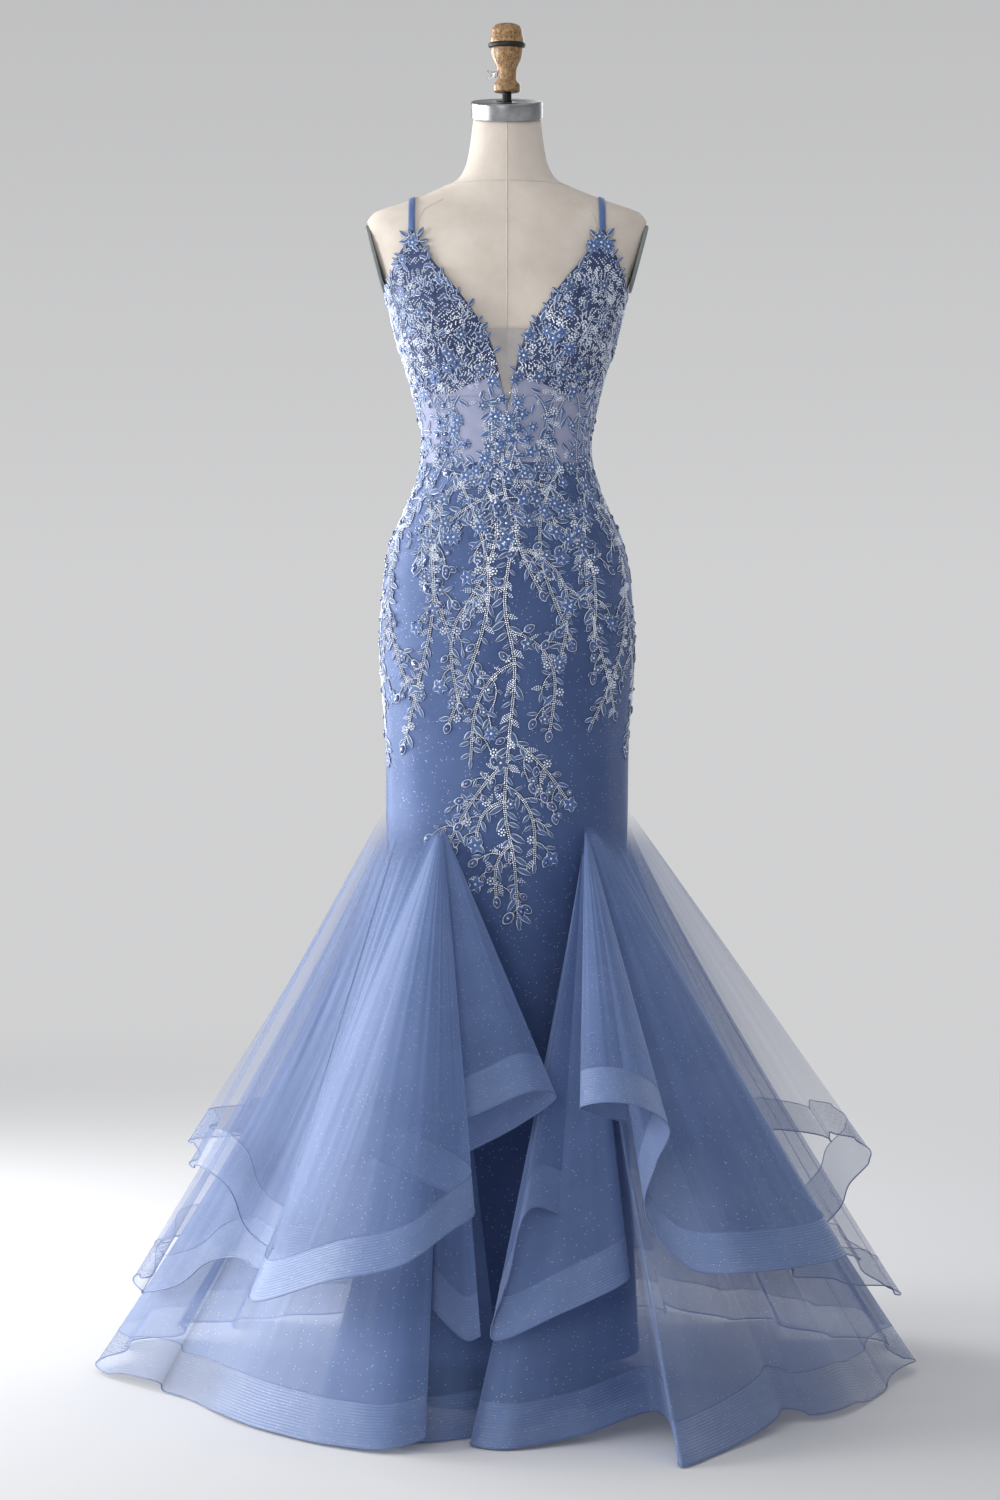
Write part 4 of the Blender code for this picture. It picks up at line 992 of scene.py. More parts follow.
def build_ruffle(name, folds, side, tier_name, front_until, seed):
    """A gathered tulle ruffle with the stiff braid on its hem."""
    tier = TIERS[tier_name]
    rng = random.Random(seed)
    ends = ("",) if "front" in name else ("", "_back")
    line = through([*folds, *back_rows(tier)] if len(ends) > 1 else folds, PLEAT_STEPS)
    if len(ends) > 1:
        line = fluted(line, rng, front_until)
    turn, across, forward, height = line.T
    front = np.maximum(0, np.cos(np.radians(turn))) ** 2
    seam_turn = np.interp(turn, *zip(*SEAM_GATHER[side]))
    seam_height = tier["start"] - FRONT_SEAM_DROP * front
    start = figure(side * seam_turn, seam_height, GAP + SATIN + SEAM_LIFT + TULLE / 2)
    hem = np.stack([side * across, -forward, height], -1)
    drop = np.linalg.norm(hem - start, axis=-1)
    joint = 1 - BRAID_WIDTH / drop

    def ruled(shares):
        """Points down the ruffle's straight rulings, at shares of the drop."""
        out = shares ** tier["flare"]
        grid = start[None] + (hem - start)[None] * out[..., None]
        grid[..., 2] = start[None, :, 2] + (hem - start)[None, :, 2] * shares
        return grid

    shares = spread(0, 1, TULLE_ROWS)[:, None]
    tulle = ruled(shares * joint[None])
    where = np.arange(len(line)) / PLEAT_STEPS
    pleats = sum(
        share * np.sin(2 * math.pi * where * many + rng.uniform(0, FULL_TURN)) for many, share in PLEATS
    )
    folded = 1 - np.clip((turn - front_until) / FOLD_FADE, 0, 1)
    size = PLEAT_DEPTH * np.sin(math.pi * spread(0, 1, TULLE_ROWS)) ** 0.8
    pleats = size[:, None] * (pleats * (1 - 0.7 * folded))[None]
    tulle = tulle + grid_normals(tulle) * pleats[..., None]
    band = ruled(joint[None] + (1 - joint)[None] * spread(0, 1, BRAID_ROWS)[:, None])
    begun = np.clip(shares * drop[None] / (NET_START + NET_START_REST * (1 - folded))[None], 0, 1)
    cover, band_cover = net_cover(rng, tier_name, side, turn, front_until, shares, begun)

    pile = Pile()
    pile.grid(tulle, uv=metre_grid(tulle), cover=cover)
    net = pile.stand_for([f"ruffle_{name}{end}" for end in ends], f"tulle_{name}", ["tulle"], "tulle")
    pile = Pile()
    pile.grid(band, uv=metre_grid(band), cover=band_cover)
    pile.grid(tube(band[-1], HEM_CORD, 6), 1, around=True)
    pile.grid(tube(band[0], TOP_CORD, 5), 1, around=True)
    nodes = [f"braid_{name}{end}" for end in ends]
    braid = pile.stand_for(nodes, f"horsehair_{name}", ["braid", "hem_cord"], "horsehair_braid")
    declare(net, tulle)
    declare(braid, band)


def build_ruffles():
    pieces = (
        # name, folds, side, tier, front folds end at this turn
        ("upper_left", UPPER_LEFT, -1, "upper", 48.0),
        ("upper_right", UPPER_RIGHT, 1, "upper", 47.0),
        ("middle_front_left", MIDDLE_FRONT_LEFT, -1, "middle", 90.0),
        ("middle_front_right", MIDDLE_FRONT_RIGHT, 1, "middle", 90.0),
        ("middle_left", MIDDLE_LEFT, -1, "middle", 44.0),
        ("middle_right", MIDDLE_RIGHT, 1, "middle", 46.0),
        ("floor_left", FLOOR_LEFT, -1, "floor", 42.0),
        ("floor_right", FLOOR_RIGHT, 1, "floor", 38.0),
    )
    for seed, piece in enumerate(pieces):
        build_ruffle(*piece, seed)


# ---------------------------------------------------------------- beadwork and lace

# The sixth look, a dark navy net, is the painted shadow round the raised lace.
SILVER, THREAD, GREY, BLUE, GEM, SHADOW = range(6)
LACE_LOOKS = ["silver_bead", "silver_thread", "grey_thread", "blue_thread", "blue_gem", "shadow_net"]
LAYOUT_DEGREE = 0.0024  # metres to a degree of turn in the layout of motifs
BEAD_SIDES = 5
BEAD_PITCH = 0.0025
BEAD = 0.00105
STEM_BEAD = 0.00112
STALK_BEAD = 0.0010
LEAF_BEAD = 0.00115
LEAF_BEAD_PITCH = 0.0024
LEAF_ROW_PITCH = 0.0026
FLOWER_BEAD = 0.0010
FLOWER_EYE = 0.0022
BERRY = 0.0085
ROW_STEP = 2.1  # from one row of a stem's beads to the next, over a bead's radius
# how far a stem's dark cord, its edge painted as shadow, reaches past its beads
STEM_MARGIN = 0.0011
STEM_TAPER = 0.006
TWIG_PITCH = 0.0095
FINE_TWIG_PITCH = 0.010
# how far the dark net painted as the lace's shadow lies off the cloth
SHADOW_NET_RISE = 0.0002
CORD_RISE = 0.0004
# The picks, from 0 to 1, below which each thing grows from a stem's side.
GREY_LEAVES, LEAVES, BEAD_LEAVES, FLOWERS, STALKED_GEMS = 0.36, 0.50, 0.74, 0.80, 0.92
BLADE_SIDES = np.array([-1.0, -0.78, -0.56, 0.0, 0.56, 0.78, 1.0])  # places across a blade
BLADE_MARGIN = 1.30  # the half width of the dark net painted as the blade's shadow, over the blade's own
STEM_SIDES = np.array([-1.0, -0.6, 0.6, 1.0])
STEM_RISE = np.array([0.0001, 0.0004, 0.0004, 0.0001])
PETALS = (5, 6, 8)
GEM_SIDES = 12
GEM_RINGS = (
    # share of the stone's size, rise, look of the band inside the ring before it
    # the dark bands are the net painted as the setting's shadow
    (1.42, 0.0001, SHADOW),
    (1.20, 0.0007, SHADOW),
    (1.05, 0.0010, THREAD),
    (0.98, 0.0005, THREAD),
    (0.88, 0.0024, GEM),
    (0.52, 0.0034, GEM),
    (0.16, 0.0037, GEM),
)


class Lace:
    """Beads, leaves, flowers and gems sewn on a surface of turn and height."""

    def __init__(self, surface, seed, shadow_look=SHADOW):
        # the look of the strips painted as the shadow round each motif: the dark net, but grey thread on the
        # corset
        self.surface, self.shadow_look = surface, shadow_look
        self.pile = Pile()
        self.beads = []
        self.rng = random.Random(seed)

    def skin(self, turn, height):
        """Points on the cloth at turns and heights, with the two ways along it and the way out of it."""
        step, rise, lift = 0.4, 0.002, GAP + SATIN
        middle = self.surface(turn, height, lift)
        across = self.surface(turn + step, height, lift) - self.surface(turn - step, height, lift)
        up = self.surface(turn, height + rise, lift) - self.surface(turn, height - rise, lift)
        normal = np.cross(across, up)
        normal /= np.linalg.norm(normal, axis=-1, keepdims=True)
        across /= np.linalg.norm(across, axis=-1, keepdims=True)
        return middle, across, np.cross(normal, across), normal

    def raised(self, turn, height, rise):
        """Points on the cloth, raised off it."""
        middle, _, _, normal = self.skin(turn, height)
        return middle + normal * rise

    def spot(self, at, angle, u, v):
        """Turns and heights of places in a motif's own frame, u to its right and v along its angle."""
        c, s = math.cos(angle), math.sin(angle)
        wide = metres_per_degree(at[0], at[1])
        return at[0] + (u * c - v * s) / wide, at[1] + u * s + v * c

    def add_beads(self, turn, height, radius, slot=SILVER):
        turn, height, radius = np.broadcast_arrays(np.atleast_1d(turn), height, radius)
        self.beads.append((turn.ravel(), height.ravel(), radius.ravel(), slot))

    def blade(self, at, angle, length, width, slot, rows=7, lift=0.0005, dome=0.0009):
        """A petal or leaf: pointed and domed, with a raised cord round it and, outside the cord, dark net
        painted as its shadow.
        """
        along = spread(0, 1, rows)[:, None]
        side = BLADE_SIDES[None] * BLADE_MARGIN
        half = width / 2 * np.sin(math.pi * along**0.85) ** 0.8 + 0.0002
        u, v = side * half, along * length + 0 * side
        domed = lift + dome * (1 - side**2) * np.sin(math.pi * along) + CORD_RISE * (np.abs(side) > 0.6)
        rise = np.where(np.abs(side) > 1.1, SHADOW_NET_RISE, domed)
        points = self.raised(*self.spot(at, angle, u, v), rise[..., None])
        quads = grid_faces(rows + 1, side.shape[1])
        start = self.pile.count
        self.pile.add(points, quads[:, 2:-2].reshape(-1, 4), slot)
        # the outermost strips are the painted shadow round the blade
        for pair, look in (((1, -2), THREAD), ((0, -1), self.shadow_look)):
            self.pile.faces.append((quads[:, pair].reshape(-1, 4) + start, look, True))

    def leaf(self, at, angle, length, slot=GREY):
        """A pointed corded leaf."""
        self.blade(at, angle, length, length * self.rng.uniform(0.30, 0.40), slot)

    def bead_leaf(self, at, angle, length):
        """A leaf filled with beads."""
        count = max(3, int(length / LEAF_ROW_PITCH))
        for k in range(count):
            along = (k + 0.5) / count
            half = length * 0.21 * math.sin(math.pi * along**0.85)
            wide = half > LEAF_BEAD_PITCH / 2
            across = np.arange(-half, half + 0.0001, LEAF_BEAD_PITCH) if wide else np.zeros(1)
            self.add_beads(*self.spot(at, angle, across - across.mean(), along * length), LEAF_BEAD)

    def flower(self, at, size, petals, slot=BLUE, gem=False):
        """A flower with domed petals round a bead or a gem."""
        spin = self.rng.uniform(0, FULL_TURN)
        for k in range(petals):
            angle, length = spin + 2 * math.pi * k / petals, size / 2 * self.rng.uniform(0.92, 1.08)
            self.blade(at, angle, length, size * 1.9 / petals, slot, 5, 0.0008, 0.0014)
        if gem:
            self.gem(at, spin, size * 0.36, 0.9)
        else:
            u, v = ring_of(6)
            self.add_beads(*self.spot(at, spin, 0.15 * size * u, 0.15 * size * v), FLOWER_BEAD)
            self.add_beads(at[0], at[1], FLOWER_EYE)

    def gem(self, at, angle, length, taper=0.35):
        """A faceted stone, round at its foot and pointed when its taper is small, in a corded setting, with a
        band of painted shadow round it and a painted silver glint on its top.
        """
        up, right = ring_of(GEM_SIDES)
        wide = np.where(up > 0, taper + (1 - taper) * np.abs(right), 1.0)
        rings = []
        for share, rise, _ in GEM_RINGS:
            u, v = length * 0.33 * share * right * wide, length * 0.5 * share * up
            rings.append(self.raised(*self.spot(at, angle, u, v), rise))
        points = np.concatenate([*rings, rings[-1].mean(axis=0, keepdims=True)])
        start = self.pile.count
        self.pile.add(points, np.zeros((0, 4), int), GEM)
        quads = grid_faces(len(GEM_RINGS), GEM_SIDES, around=True)[..., [1, 0, 3, 2]] + start
        # the outer dark band takes the look painted as the shadow round the motif
        for row, (_, _, look) in zip(quads, GEM_RINGS[1:]):
            self.pile.faces.append((row, self.shadow_look if look == SHADOW else look, False))
        # the small facets round the top are silver, a painted glint on the stone
        top = quads[-1][:, [3, 2]]
        apex = np.full((GEM_SIDES, 1), self.pile.count - 1)
        self.pile.faces.append((np.hstack([top, apex]), SILVER, False))

    def berries(self, at, size):
        """A ring of beads round a bigger one."""
        u, v = ring_of(7)
        self.add_beads(*self.spot(at, 0, size / 2 * u, size / 2 * v), size * 0.19)
        self.add_beads(at[0], at[1], size * 0.24)

    def stem(self, path, rows=2, radius=STEM_BEAD):
        """Rows of beads on dark cord down a path of turns and heights, the cord's edge painted as their
        shadow; returns the path and its headings.
        """
        path = np.asarray(path, float)
        wide = metres_per_degree(path[:, 0], path[:, 1])
        flat = np.stack([path[:, 0] * wide.mean(), path[:, 1]], -1)
        reach = np.concatenate([[0], np.cumsum(np.linalg.norm(np.diff(flat, axis=0), axis=1))])
        at = np.arange(0, reach[-1], BEAD_PITCH)
        x, y = np.interp(at, reach, flat[:, 0]), np.interp(at, reach, flat[:, 1])
        dx, dy = np.gradient(x), np.gradient(y)
        size = np.maximum(np.hypot(dx, dy), 1e-9)
        for row in range(rows):
            off = (row - (rows - 1) / 2) * radius * ROW_STEP
            self.add_beads((x - dy / size * off) / wide.mean(), y + dx / size * off, radius)
        # the dark strip reaches past the beads as their painted shadow
        half = rows * radius + STEM_MARGIN
        off = half * STEM_SIDES[None] * np.minimum(1, (at[-1] - at) / STEM_TAPER + 0.3)[:, None]
        u, v = x[:, None] - (dy / size)[:, None] * off, y[:, None] + (dx / size)[:, None] * off
        cord = self.raised(u / wide.mean(), v, STEM_RISE[None, :, None])
        self.pile.grid(cord[:, ::-1], self.shadow_look)
        return x / wide.mean(), y, np.arctan2(-dx, dy)

    def side_growth(self, root, angle, length, pick):
        """What grows from a stem's side, by a pick between 0 and 1."""
        if pick < LEAVES:
            self.leaf(root, angle, length, GREY if pick < GREY_LEAVES else BLUE)
        elif pick < BEAD_LEAVES:
            self.bead_leaf(root, angle, length * 0.85)
        elif pick < FLOWERS:
            self.flower(self.spot(root, angle, 0, 0.008), length * 1.05, self.rng.choice(PETALS[:2]), GREY)
        elif pick < STALKED_GEMS:
            out = self.spot(root, angle, 0, length * 0.7)
            self.stem([root, out], 1, STALK_BEAD)
            self.gem(out, angle, length * 0.70)
        else:
            self.berries(self.spot(root, angle, 0, length * 0.4), BERRY)

    def sprig(self, path, every, size, rows, end):
        """A stem with leaves on both sides by turns, and a gem, flower or leaf at its end."""
        turn, height, heading = self.stem(path, rows)
        step = max(2, int(every / BEAD_PITCH))
        side = 1
        for k in range(step // 2, len(turn) - 2, step):
            side = -side
            angle = heading[k] + side * self.rng.uniform(0.45, 1.20)
            length = size * self.rng.uniform(0.60, 1.30)
            pick = self.rng.random()
            root = self.spot((turn[k], height[k]), angle, 0, rows * STEM_MARGIN)
            self.side_growth(root, angle, length, pick)
        tip = (turn[-1], height[-1])
        if end == "gem":
            self.gem(self.spot(tip, heading[-1], 0, 0.006), heading[-1], 0.013)
        elif end == "flower":
            self.flower(tip, self.rng.uniform(0.018, 0.024), self.rng.choice(PETALS))
        else:
            self.leaf(tip, heading[-1], size)
        return turn, height, heading

    def bloom(self, place, least, most):
        """A flower of a random size, petals, colour and centre."""
        rng = self.rng
        size, petals, look = rng.uniform(least, most), rng.choice(PETALS), rng.choice((BLUE, BLUE, GREY))
        self.flower(place, size, petals, look, rng.random() < 0.3)

    def stand_for(self, nodes, name, slot):
        """Adds the gathered beads as small domes, and builds the object."""
        u, v = ring_of(BEAD_SIDES)
        count = 2 * BEAD_SIDES + 1
        k = np.arange(BEAD_SIDES)
        n = (k + 1) % BEAD_SIDES
        sides = np.stack([k, n, BEAD_SIDES + n, BEAD_SIDES + k], -1)
        caps = np.stack([BEAD_SIDES + k, BEAD_SIDES + n, 0 * k + count - 1], -1)
        for look in sorted({batch[3] for batch in self.beads}):
            batches = [batch[:3] for batch in self.beads if batch[3] == look]
            turn, height, radius = (np.concatenate(column) for column in zip(*batches))
            middle, across, up, normal = self.skin(turn, height)
            r = radius[:, None, None]
            ring = across[:, None] * u[None, :, None] + up[:, None] * v[None, :, None]
            low = middle[:, None] + ring * r - normal[:, None] * r * 0.2
            high = middle[:, None] + ring * r * 0.80 + normal[:, None] * r * 0.75
            apex = middle + normal * radius[:, None] * 1.25
            start = (np.arange(len(turn)) * count)[:, None, None]
            points = np.concatenate([low, high, apex[:, None]], axis=1)
            before = self.pile.count
            self.pile.add(points, (start + sides[None]).reshape(-1, 4), look, smooth=False)
            self.pile.faces.append(((start + caps[None]).reshape(-1, 3) + before, look, False))
        self.pile.stand_for(nodes, name, LACE_LOOKS, slot)


def bent(start, end, bow, steps=14):
    """A path from one place to another, bowed to its left by a share of its length."""
    t = spread(0, 1, steps)[:, None]
    start, end = np.array(start, float), np.array(end, float)
    wide = float(metres_per_degree(start[0], start[1]))
    across = (end - start) * [wide, 1]
    left = np.array([-across[1] / wide, across[0]])
    return start + (end - start) * t + left * bow * np.sin(math.pi * t**0.8)


def scattered(rng, inside, turns, heights, spacing, tries):
    """Places at least a spacing apart in metres, in a region of turns and heights."""
    found, flat = [], np.zeros((0, 2))
    for _ in range(tries):
        place = (rng.uniform(*turns), rng.uniform(*heights))
        if not inside(*place):
            continue
        here = np.array([place[0] * LAYOUT_DEGREE, place[1]])
        if len(flat) and np.linalg.norm(flat - here, axis=1).min() < spacing:
            continue
        flat = np.vstack([flat, here])
        found.append(place)
    return np.array(found)


# The sprays on the satin below the waist: where each stem starts and ends, how it bows, and what ends it.
CENTRE_STEM = (
    (0.0, 1.285), (-3.0, 1.215), (2.5, 1.130), (-1.0, 1.040), (3.5, 0.950),
    (1.0, 0.860), (-1.0, 0.780), (3.5, 0.700), (5.5, 0.628),
)
BRANCHES = (
    # from turn, from height, to turn, to height, bow, end
    (-3.0, 1.205, -40.0, 1.060, -0.34, "gem"),
    (-1.5, 1.180, -27.0, 1.000, -0.30, "leaf"),
    (1.0, 1.195, 36.0, 1.075, 0.34, "leaf"),
    (2.5, 1.150, 42.0, 0.985, 0.30, "gem"),
    (1.5, 1.110, 24.0, 0.960, 0.28, "flower"),
    (-0.5, 1.060, -22.0, 0.905, -0.26, "gem"),
    (2.0, 1.000, 20.0, 0.870, 0.24, "gem"),
    (3.2, 0.960, -17.0, 0.835, -0.16, "leaf"),
    (1.2, 0.835, -31.0, 0.712, -0.05, "gem"),
    (0.5, 0.862, 31.0, 0.775, 0.06, "flower"),
    (0.0, 0.800, 13.0, 0.700, 0.16, "leaf"),
    (-1.0, 0.780, -15.0, 0.722, -0.20, "flower"),
    (2.5, 0.725, -5.0, 0.655, -0.16, "gem"),
    (-20.0, 1.206, -17.0, 1.040, 0.16, "leaf"),
    (-36.0, 1.206, -28.0, 0.880, 0.14, "gem"),
    (-50.0, 1.206, -44.0, 0.900, -0.14, "leaf"),
    (-62.0, 1.200, -57.0, 0.850, 0.12, "gem"),
    (-72.0, 1.200, -76.0, 0.830, -0.10, "flower"),
    (-84.0, 1.190, -86.0, 0.870, 0.08, "gem"),
    (18.0, 1.206, 16.0, 1.050, -0.16, "gem"),
    (34.0, 1.206, 30.0, 0.990, -0.14, "gem"),
    (50.0, 1.200, 43.0, 0.880, 0.14, "leaf"),
    (61.0, 1.200, 60.0, 0.895, -0.12, "gem"),
    (72.0, 1.200, 77.0, 0.840, 0.10, "flower"),
    (84.0, 1.190, 86.0, 0.900, -0.08, "gem"),
)
CENTRE_PANEL = 12  # the widest turn that the centre vine holds
LEAST_LEAN, MOST_LEAN = 1.6, 4.7  # motifs on the hips point down


def build_skirt_lace():
    """The vine down the skirt's centre and the sprays that fall from the waist."""
    laces = {name: Lace(skirt_surface, seed) for name, seed in (("centre", 11), ("left", 12), ("right", 13))}

    def lace_at(turn):
        return laces["centre" if abs(turn) < CENTRE_PANEL else "left" if turn < 0 else "right"]

    def hips(turn, height):
        return height > 1.10 + 0.0012 * abs(abs(turn) - 45)

    centre = through([(k, *place) for k, place in enumerate(CENTRE_STEM)], 8)[:, 1:]
    laces["centre"].sprig(centre, TWIG_PITCH, 0.018, 2, "leaf")
    for a, b, c, d, bow, end in BRANCHES:
        lace = lace_at((a + c) / 2)
        rng = lace.rng
        turn, height, heading = lace.sprig(bent((a, b), (c, d), bow), TWIG_PITCH, 0.015, 2, end)
        for share in (0.25, 0.5, 0.75):
            k = int(len(turn) * share)
            side = rng.choice((-1, 1))
            reach = rng.uniform(0.025, 0.045)
            root = (turn[k], height[k])
            tip = lace.spot(root, heading[k] + side * 0.75, 0, reach)
            tip_kind = rng.choice(("gem", "leaf", "gem", "flower"))
            lace.sprig(bent(root, tip, side * 0.15, 8), FINE_TWIG_PITCH, 0.013, 1, tip_kind)
    for place in scattered(laces["centre"].rng, hips, (-87, 87), (1.09, 1.218), 0.0165, 1400):
        lace = lace_at(place[0])
        rng = lace.rng
        pick = rng.random()
        if pick < 0.22:
            lace.flower(place, rng.uniform(0.016, 0.022), rng.choice(PETALS), BLUE if pick < 0.15 else GREY)
        elif pick < 0.62:
            lean = rng.uniform(LEAST_LEAN, MOST_LEAN)
            lace.leaf(place, lean, rng.uniform(0.011, 0.017), GREY if pick < 0.45 else BLUE)
        else:
            lace.bead_leaf(place, rng.uniform(LEAST_LEAN, MOST_LEAN), rng.uniform(0.010, 0.014))
    laces["centre"].stand_for(["applique_centre"], "vine_lace_centre", "corded_lace")
    for name, _ in SIDES:
        nodes = [f"applique_{name}", f"applique_side_{name}"]
        laces[name].stand_for(nodes, f"vine_lace_{name}", "corded_lace")


CUP_MARGIN = 0.002
FAN_CENTRE = (0.108, 1.410)
FAN_PITCH = 0.0040
DASH_PITCH = 0.0022
WINDOW_TURN = 25
WINDOW_HEIGHT = 1.276
CORSET_STEMS = (-84, -75, -66, -57, -48, -39, -31, -17, -10, -4, 5, 11, 18, 31, 40, 49, 58, 67, 76, 85)


def on_cup(turn, height, margin=CUP_MARGIN):
    beside = (np.abs(turn) < 89.5) & (np.abs(turn) > 3)
    return (height < top_edge(turn) - margin) & (height > cup_foot(turn)) & beside


def bead_fans(lace, sign):
    """Dashes of beads all over a cup, laid in two fans that lean apart and take turns in patches."""
    across, along = np.meshgrid(np.arange(-0.17, 0.17, FAN_PITCH), np.arange(-0.18, 0.18, DASH_PITCH))
    dashes = np.sin(along * 340 + 2.4 * np.arange(across.shape[1])[None]) > -0.30
    fans = []
    for lean, patch in ((0.75, 1), (-0.45, -1)):
        c, s = math.cos(lean), math.sin(lean)
        x = FAN_CENTRE[0] + across * c - along * s + 0.006 * np.sin(along * 110 + across * 60)
        y = FAN_CENTRE[1] + across * s + along * c + 0.006 * np.sin(across * 95 + along * 45)
        patches = patch * np.sin(x * 135 + 1.5 * np.sin(y * 90)) * np.sin(y * 120 + x * 60) > 0
        keep = dashes & on_cup(x / LAYOUT_DEGREE, y) & patches
        fans.append((x[keep], y[keep]))
    x, y = (np.concatenate(column) for column in zip(*fans))
    turns = sign * (x / LAYOUT_DEGREE)
    bright = np.sin(x * 83 + 2 * np.sin(y * 60)) + np.sin(y * 71 + x * 40) > -0.2
    lace.add_beads(turns[bright], y[bright], BEAD)
    lace.add_beads(turns[~bright], y[~bright], BEAD, THREAD)


def build_cup_lace(name, sign, seed):
    """The beading that covers a cup, with leaves along its top edge and a spray at the strap."""
    lace = Lace(figure, seed)
    rng = lace.rng

    def inside(turn, height):
        return bool(on_cup(turn, height, 2 * CUP_MARGIN))

    bead_fans(lace, sign)
    region = sorted((3 * sign, 88 * sign))
    for place in scattered(rng, inside, region, (CUP_SEAM, 1.515), 0.0112, 2200):
        pick = rng.random()
        centre = math.exp(-((abs(place[0]) / 22) ** 2) - ((place[1] - 1.33) / 0.07) ** 2)
        if pick < 0.12 + 0.5 * centre:
            lace.bloom(place, 0.015, 0.021)
        elif pick < 0.50:
            lace.leaf(place, rng.uniform(0, FULL_TURN), rng.uniform(0.010, 0.015), rng.choice((GREY, BLUE)))
        elif pick < 0.85:
            lace.bead_leaf(place, rng.uniform(0, FULL_TURN), rng.uniform(0.009, 0.013))
        else:
            lace.berries(place, 0.008)
    for turn in np.concatenate([spread(5.5, 38.5, 15), spread(46, 86, 12)]):
        at = (sign * (turn + rng.uniform(-0.8, 0.8)), float(top_edge(turn)) - 0.006)
        lace.leaf(at, rng.uniform(-1.3, 1.3), rng.uniform(0.009, 0.014), rng.choice((GREY, BLUE, GREY)))
    peak = (sign * 41.0, 1.505)
    for lean, length in ((-1.4, 0.022), (-0.7, 0.026), (0.2, 0.018), (0.8, 0.024), (1.5, 0.020)):
        lace.stem([peak, lace.spot(peak, lean, 0, length * 0.5)], 1)
        lace.leaf(lace.spot(peak, lean, 0, length * 0.4), lean, length * 0.6, GREY)
    lace.flower(peak, 0.016, 5, BLUE)
    lace.stand_for([], f"cup_beading_{name}", "beaded_lace")


def build_corset_lace():
    """The open lace on the sheer corset, with a clear window on each side of its middle."""
    lace = Lace(figure, 31, GREY)
    rng = lace.rng

    def midriff(turn, height):
        window = ((abs(turn) - WINDOW_TURN) / 8) ** 2 + ((height - WINDOW_HEIGHT) / 0.030) ** 2 < 1
        return not window and WAIST_SEAM - 0.01 < height < float(cup_foot(turn)) + 0.002

    for turn in CORSET_STEMS:
        foot = (turn + rng.uniform(-5, 5), WAIST_SEAM - 0.012)
        path = bent((turn, CUP_SEAM), foot, rng.uniform(-0.25, 0.25))
        lace.sprig(path, FINE_TWIG_PITCH, 0.013, 1, "leaf")
    heights = (WAIST_SEAM - 0.008, CUP_SEAM + CUP_FOOT_RISE)
    for place in scattered(rng, midriff, (-88, 88), heights, 0.0128, 3000):
        pick = rng.random()
        near = math.exp(-((place[0] / 14) ** 2))
        if pick < 0.20 + 0.35 * near:
            lace.bloom(place, 0.014, 0.020)
        elif pick < 0.75:
            lean, length = rng.uniform(0, FULL_TURN), rng.uniform(0.012, 0.017)
            lace.leaf(place, lean, length, rng.choice((GREY, GREY, BLUE)))
        else:
            lace.bead_leaf(place, rng.uniform(0, FULL_TURN), rng.uniform(0.009, 0.013))
    lace.stand_for([], "corset_lace", "beaded_lace")


# ---------------------------------------------------------------- light, floor and camera

PAPER_REACH = 40.0
BACKDROP = (0.985, 0.988, 1.0, 1)
HORIZON_LIGHT = 0.64
HIGH_LIGHT = 0.53
HIGH_RISE = 0.14
FADE_START = 1.0
FADE_END = 4.6
WORLD_COLOUR = (0.90, 0.91, 0.94, 1)
WORLD_LIGHT = 0.36
WHITE = (1.0, 1.0, 1.0)
LIGHTS = (
    # name, place, target, size, watts, colour
    ("key", (-4.4, -0.9, 1.2), (0, 0, 0.6), (2.0, 3.0), 160, (1.0, 0.99, 0.97)),
    ("rim", (-2.4, 1.5, 1.3), (0, 0, 0.9), (1.2, 2.4), 88, WHITE),
    ("front", (-1.6, -6.0, 2.4), (0, 0, 1.0), (2.6, 2.2), 52, WHITE),
    ("glint", (-1.9, -3.6, 3.0), (0, 0, 1.2), (0.4, 0.4), 8, WHITE),
    ("top", (0.0, -1.0, 4.2), (0, -0.2, 0), (4.0, 3.0), 24, WHITE),
    ("back", (1.6, 4.6, 2.4), (0, 0, 0.9), (3.0, 2.4), 46, WHITE),
)
CAMERA_AT = (-0.009, -5.5, 1.08)
CAMERA_DOWN = 2.47  # degrees


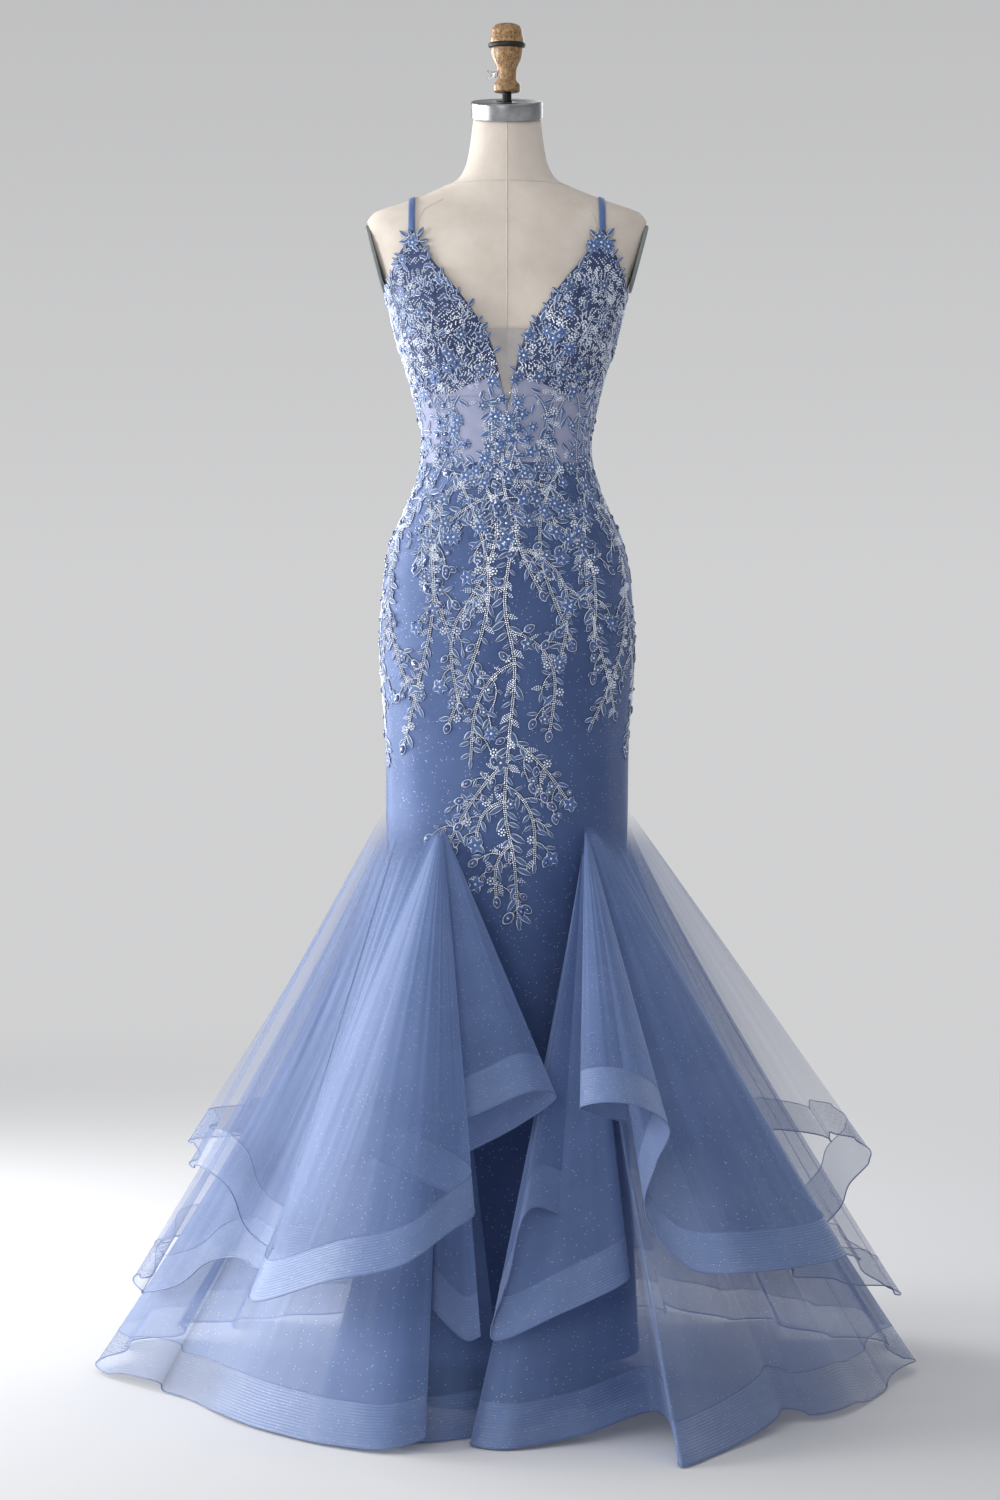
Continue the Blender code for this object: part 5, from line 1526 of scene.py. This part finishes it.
def build_paper():
    """A pale floor that fades into the backdrop's own light far from the form."""
    paper = finish(
        "paper", (0.780, 0.785, 0.800), (0.800, 0.805, 0.820), 1.5, 0.9, Specular_IOR_Level=0.0
    )
    tree = paper.node_tree
    shader = tree.nodes["Principled BSDF"]
    place = add_node(tree, "TexCoord").outputs["Object"]
    reach = add_node(tree, "VectorMath", dict(operation="LENGTH"), place).outputs["Value"]
    ends = dict(Value=reach, From_Min=FADE_START, From_Max=FADE_END)
    fade = add_node(tree, "MapRange", dict(interpolation_type="SMOOTHSTEP"), **ends).outputs["Result"]
    colour = shader.inputs["Base Color"].links[0].from_socket
    mix = add_node(tree, "Mix", dict(data_type="RGBA"), Factor=fade, A=colour, B=(0, 0, 0, 1))
    glow = add_node(tree, "Math", dict(operation="MULTIPLY"), fade, HORIZON_LIGHT)
    set_sockets(shader, {"Base_Color": mix.outputs["Result"]})
    set_sockets(shader, {"Emission_Color": BACKDROP, "Emission_Strength": glow.outputs[0]})
    ends = (-PAPER_REACH, PAPER_REACH)
    pile = Pile()
    pile.grid(np.array([[(x, y, 0.0) for x in ends] for y in ends]), flip=True)
    floor = pile.build("studio_paper", [paper])
    floor.parent = None


def build_light(name, at, target, size, power, colour):
    data = bpy.data.lights.new(name, "AREA")
    data.shape = "RECTANGLE"
    data.size, data.size_y = size
    data.energy = power
    data.color = colour
    light = bpy.data.objects.new(name, data)
    light.location = at
    light.rotation_euler = (Vector(target) - Vector(at)).to_track_quat("-Z", "Y").to_euler()
    light.visible_camera = False
    scene.collection.objects.link(light)


def build_world():
    """An even pale backdrop, a little darker higher up, and a soft light from all round."""
    world = bpy.data.worlds.new("studio")
    world.use_nodes = True
    tree = world.node_tree
    light = tree.nodes["Background"]
    set_sockets(light, {"Color": WORLD_COLOUR, "Strength": WORLD_LIGHT})
    place = add_node(tree, "TexCoord").outputs["Generated"]
    height = add_node(tree, "SeparateXYZ", Vector=place).outputs["Z"]
    rise = dict(From_Min=0.0, From_Max=HIGH_RISE, To_Min=HORIZON_LIGHT, To_Max=HIGH_LIGHT)
    shade = add_node(tree, "MapRange", Value=height, **rise).outputs["Result"]
    backdrop = add_node(tree, "Background", Color=BACKDROP, Strength=shade).outputs[0]
    seen = add_node(tree, "LightPath").outputs["Is Camera Ray"]
    mix = add_node(tree, "MixShader", (), seen, light.outputs[0], backdrop)
    set_sockets(tree.nodes["World Output"], {"Surface": mix.outputs[0]})
    scene.world = world


def build_camera():
    data = bpy.data.cameras.new("camera")
    data.lens = 100
    data.sensor_width = 36
    data.clip_end = 60
    camera = bpy.data.objects.new("camera", data)
    camera.location = CAMERA_AT
    camera.rotation_euler = (math.radians(90 - CAMERA_DOWN), 0, 0)
    scene.collection.objects.link(camera)
    scene.camera = camera


build_form()
build_cloth()
build_ruffles()
build_skirt_lace()
for (name, sign), seed in zip(SIDES, (21, 22)):
    build_cup_lace(name, sign, seed)
build_corset_lace()
build_paper()
for light in LIGHTS:
    build_light(*light)
build_world()
scene.view_settings.view_transform = "Standard"
scene.cycles.transparent_max_bounces = 32
build_camera()
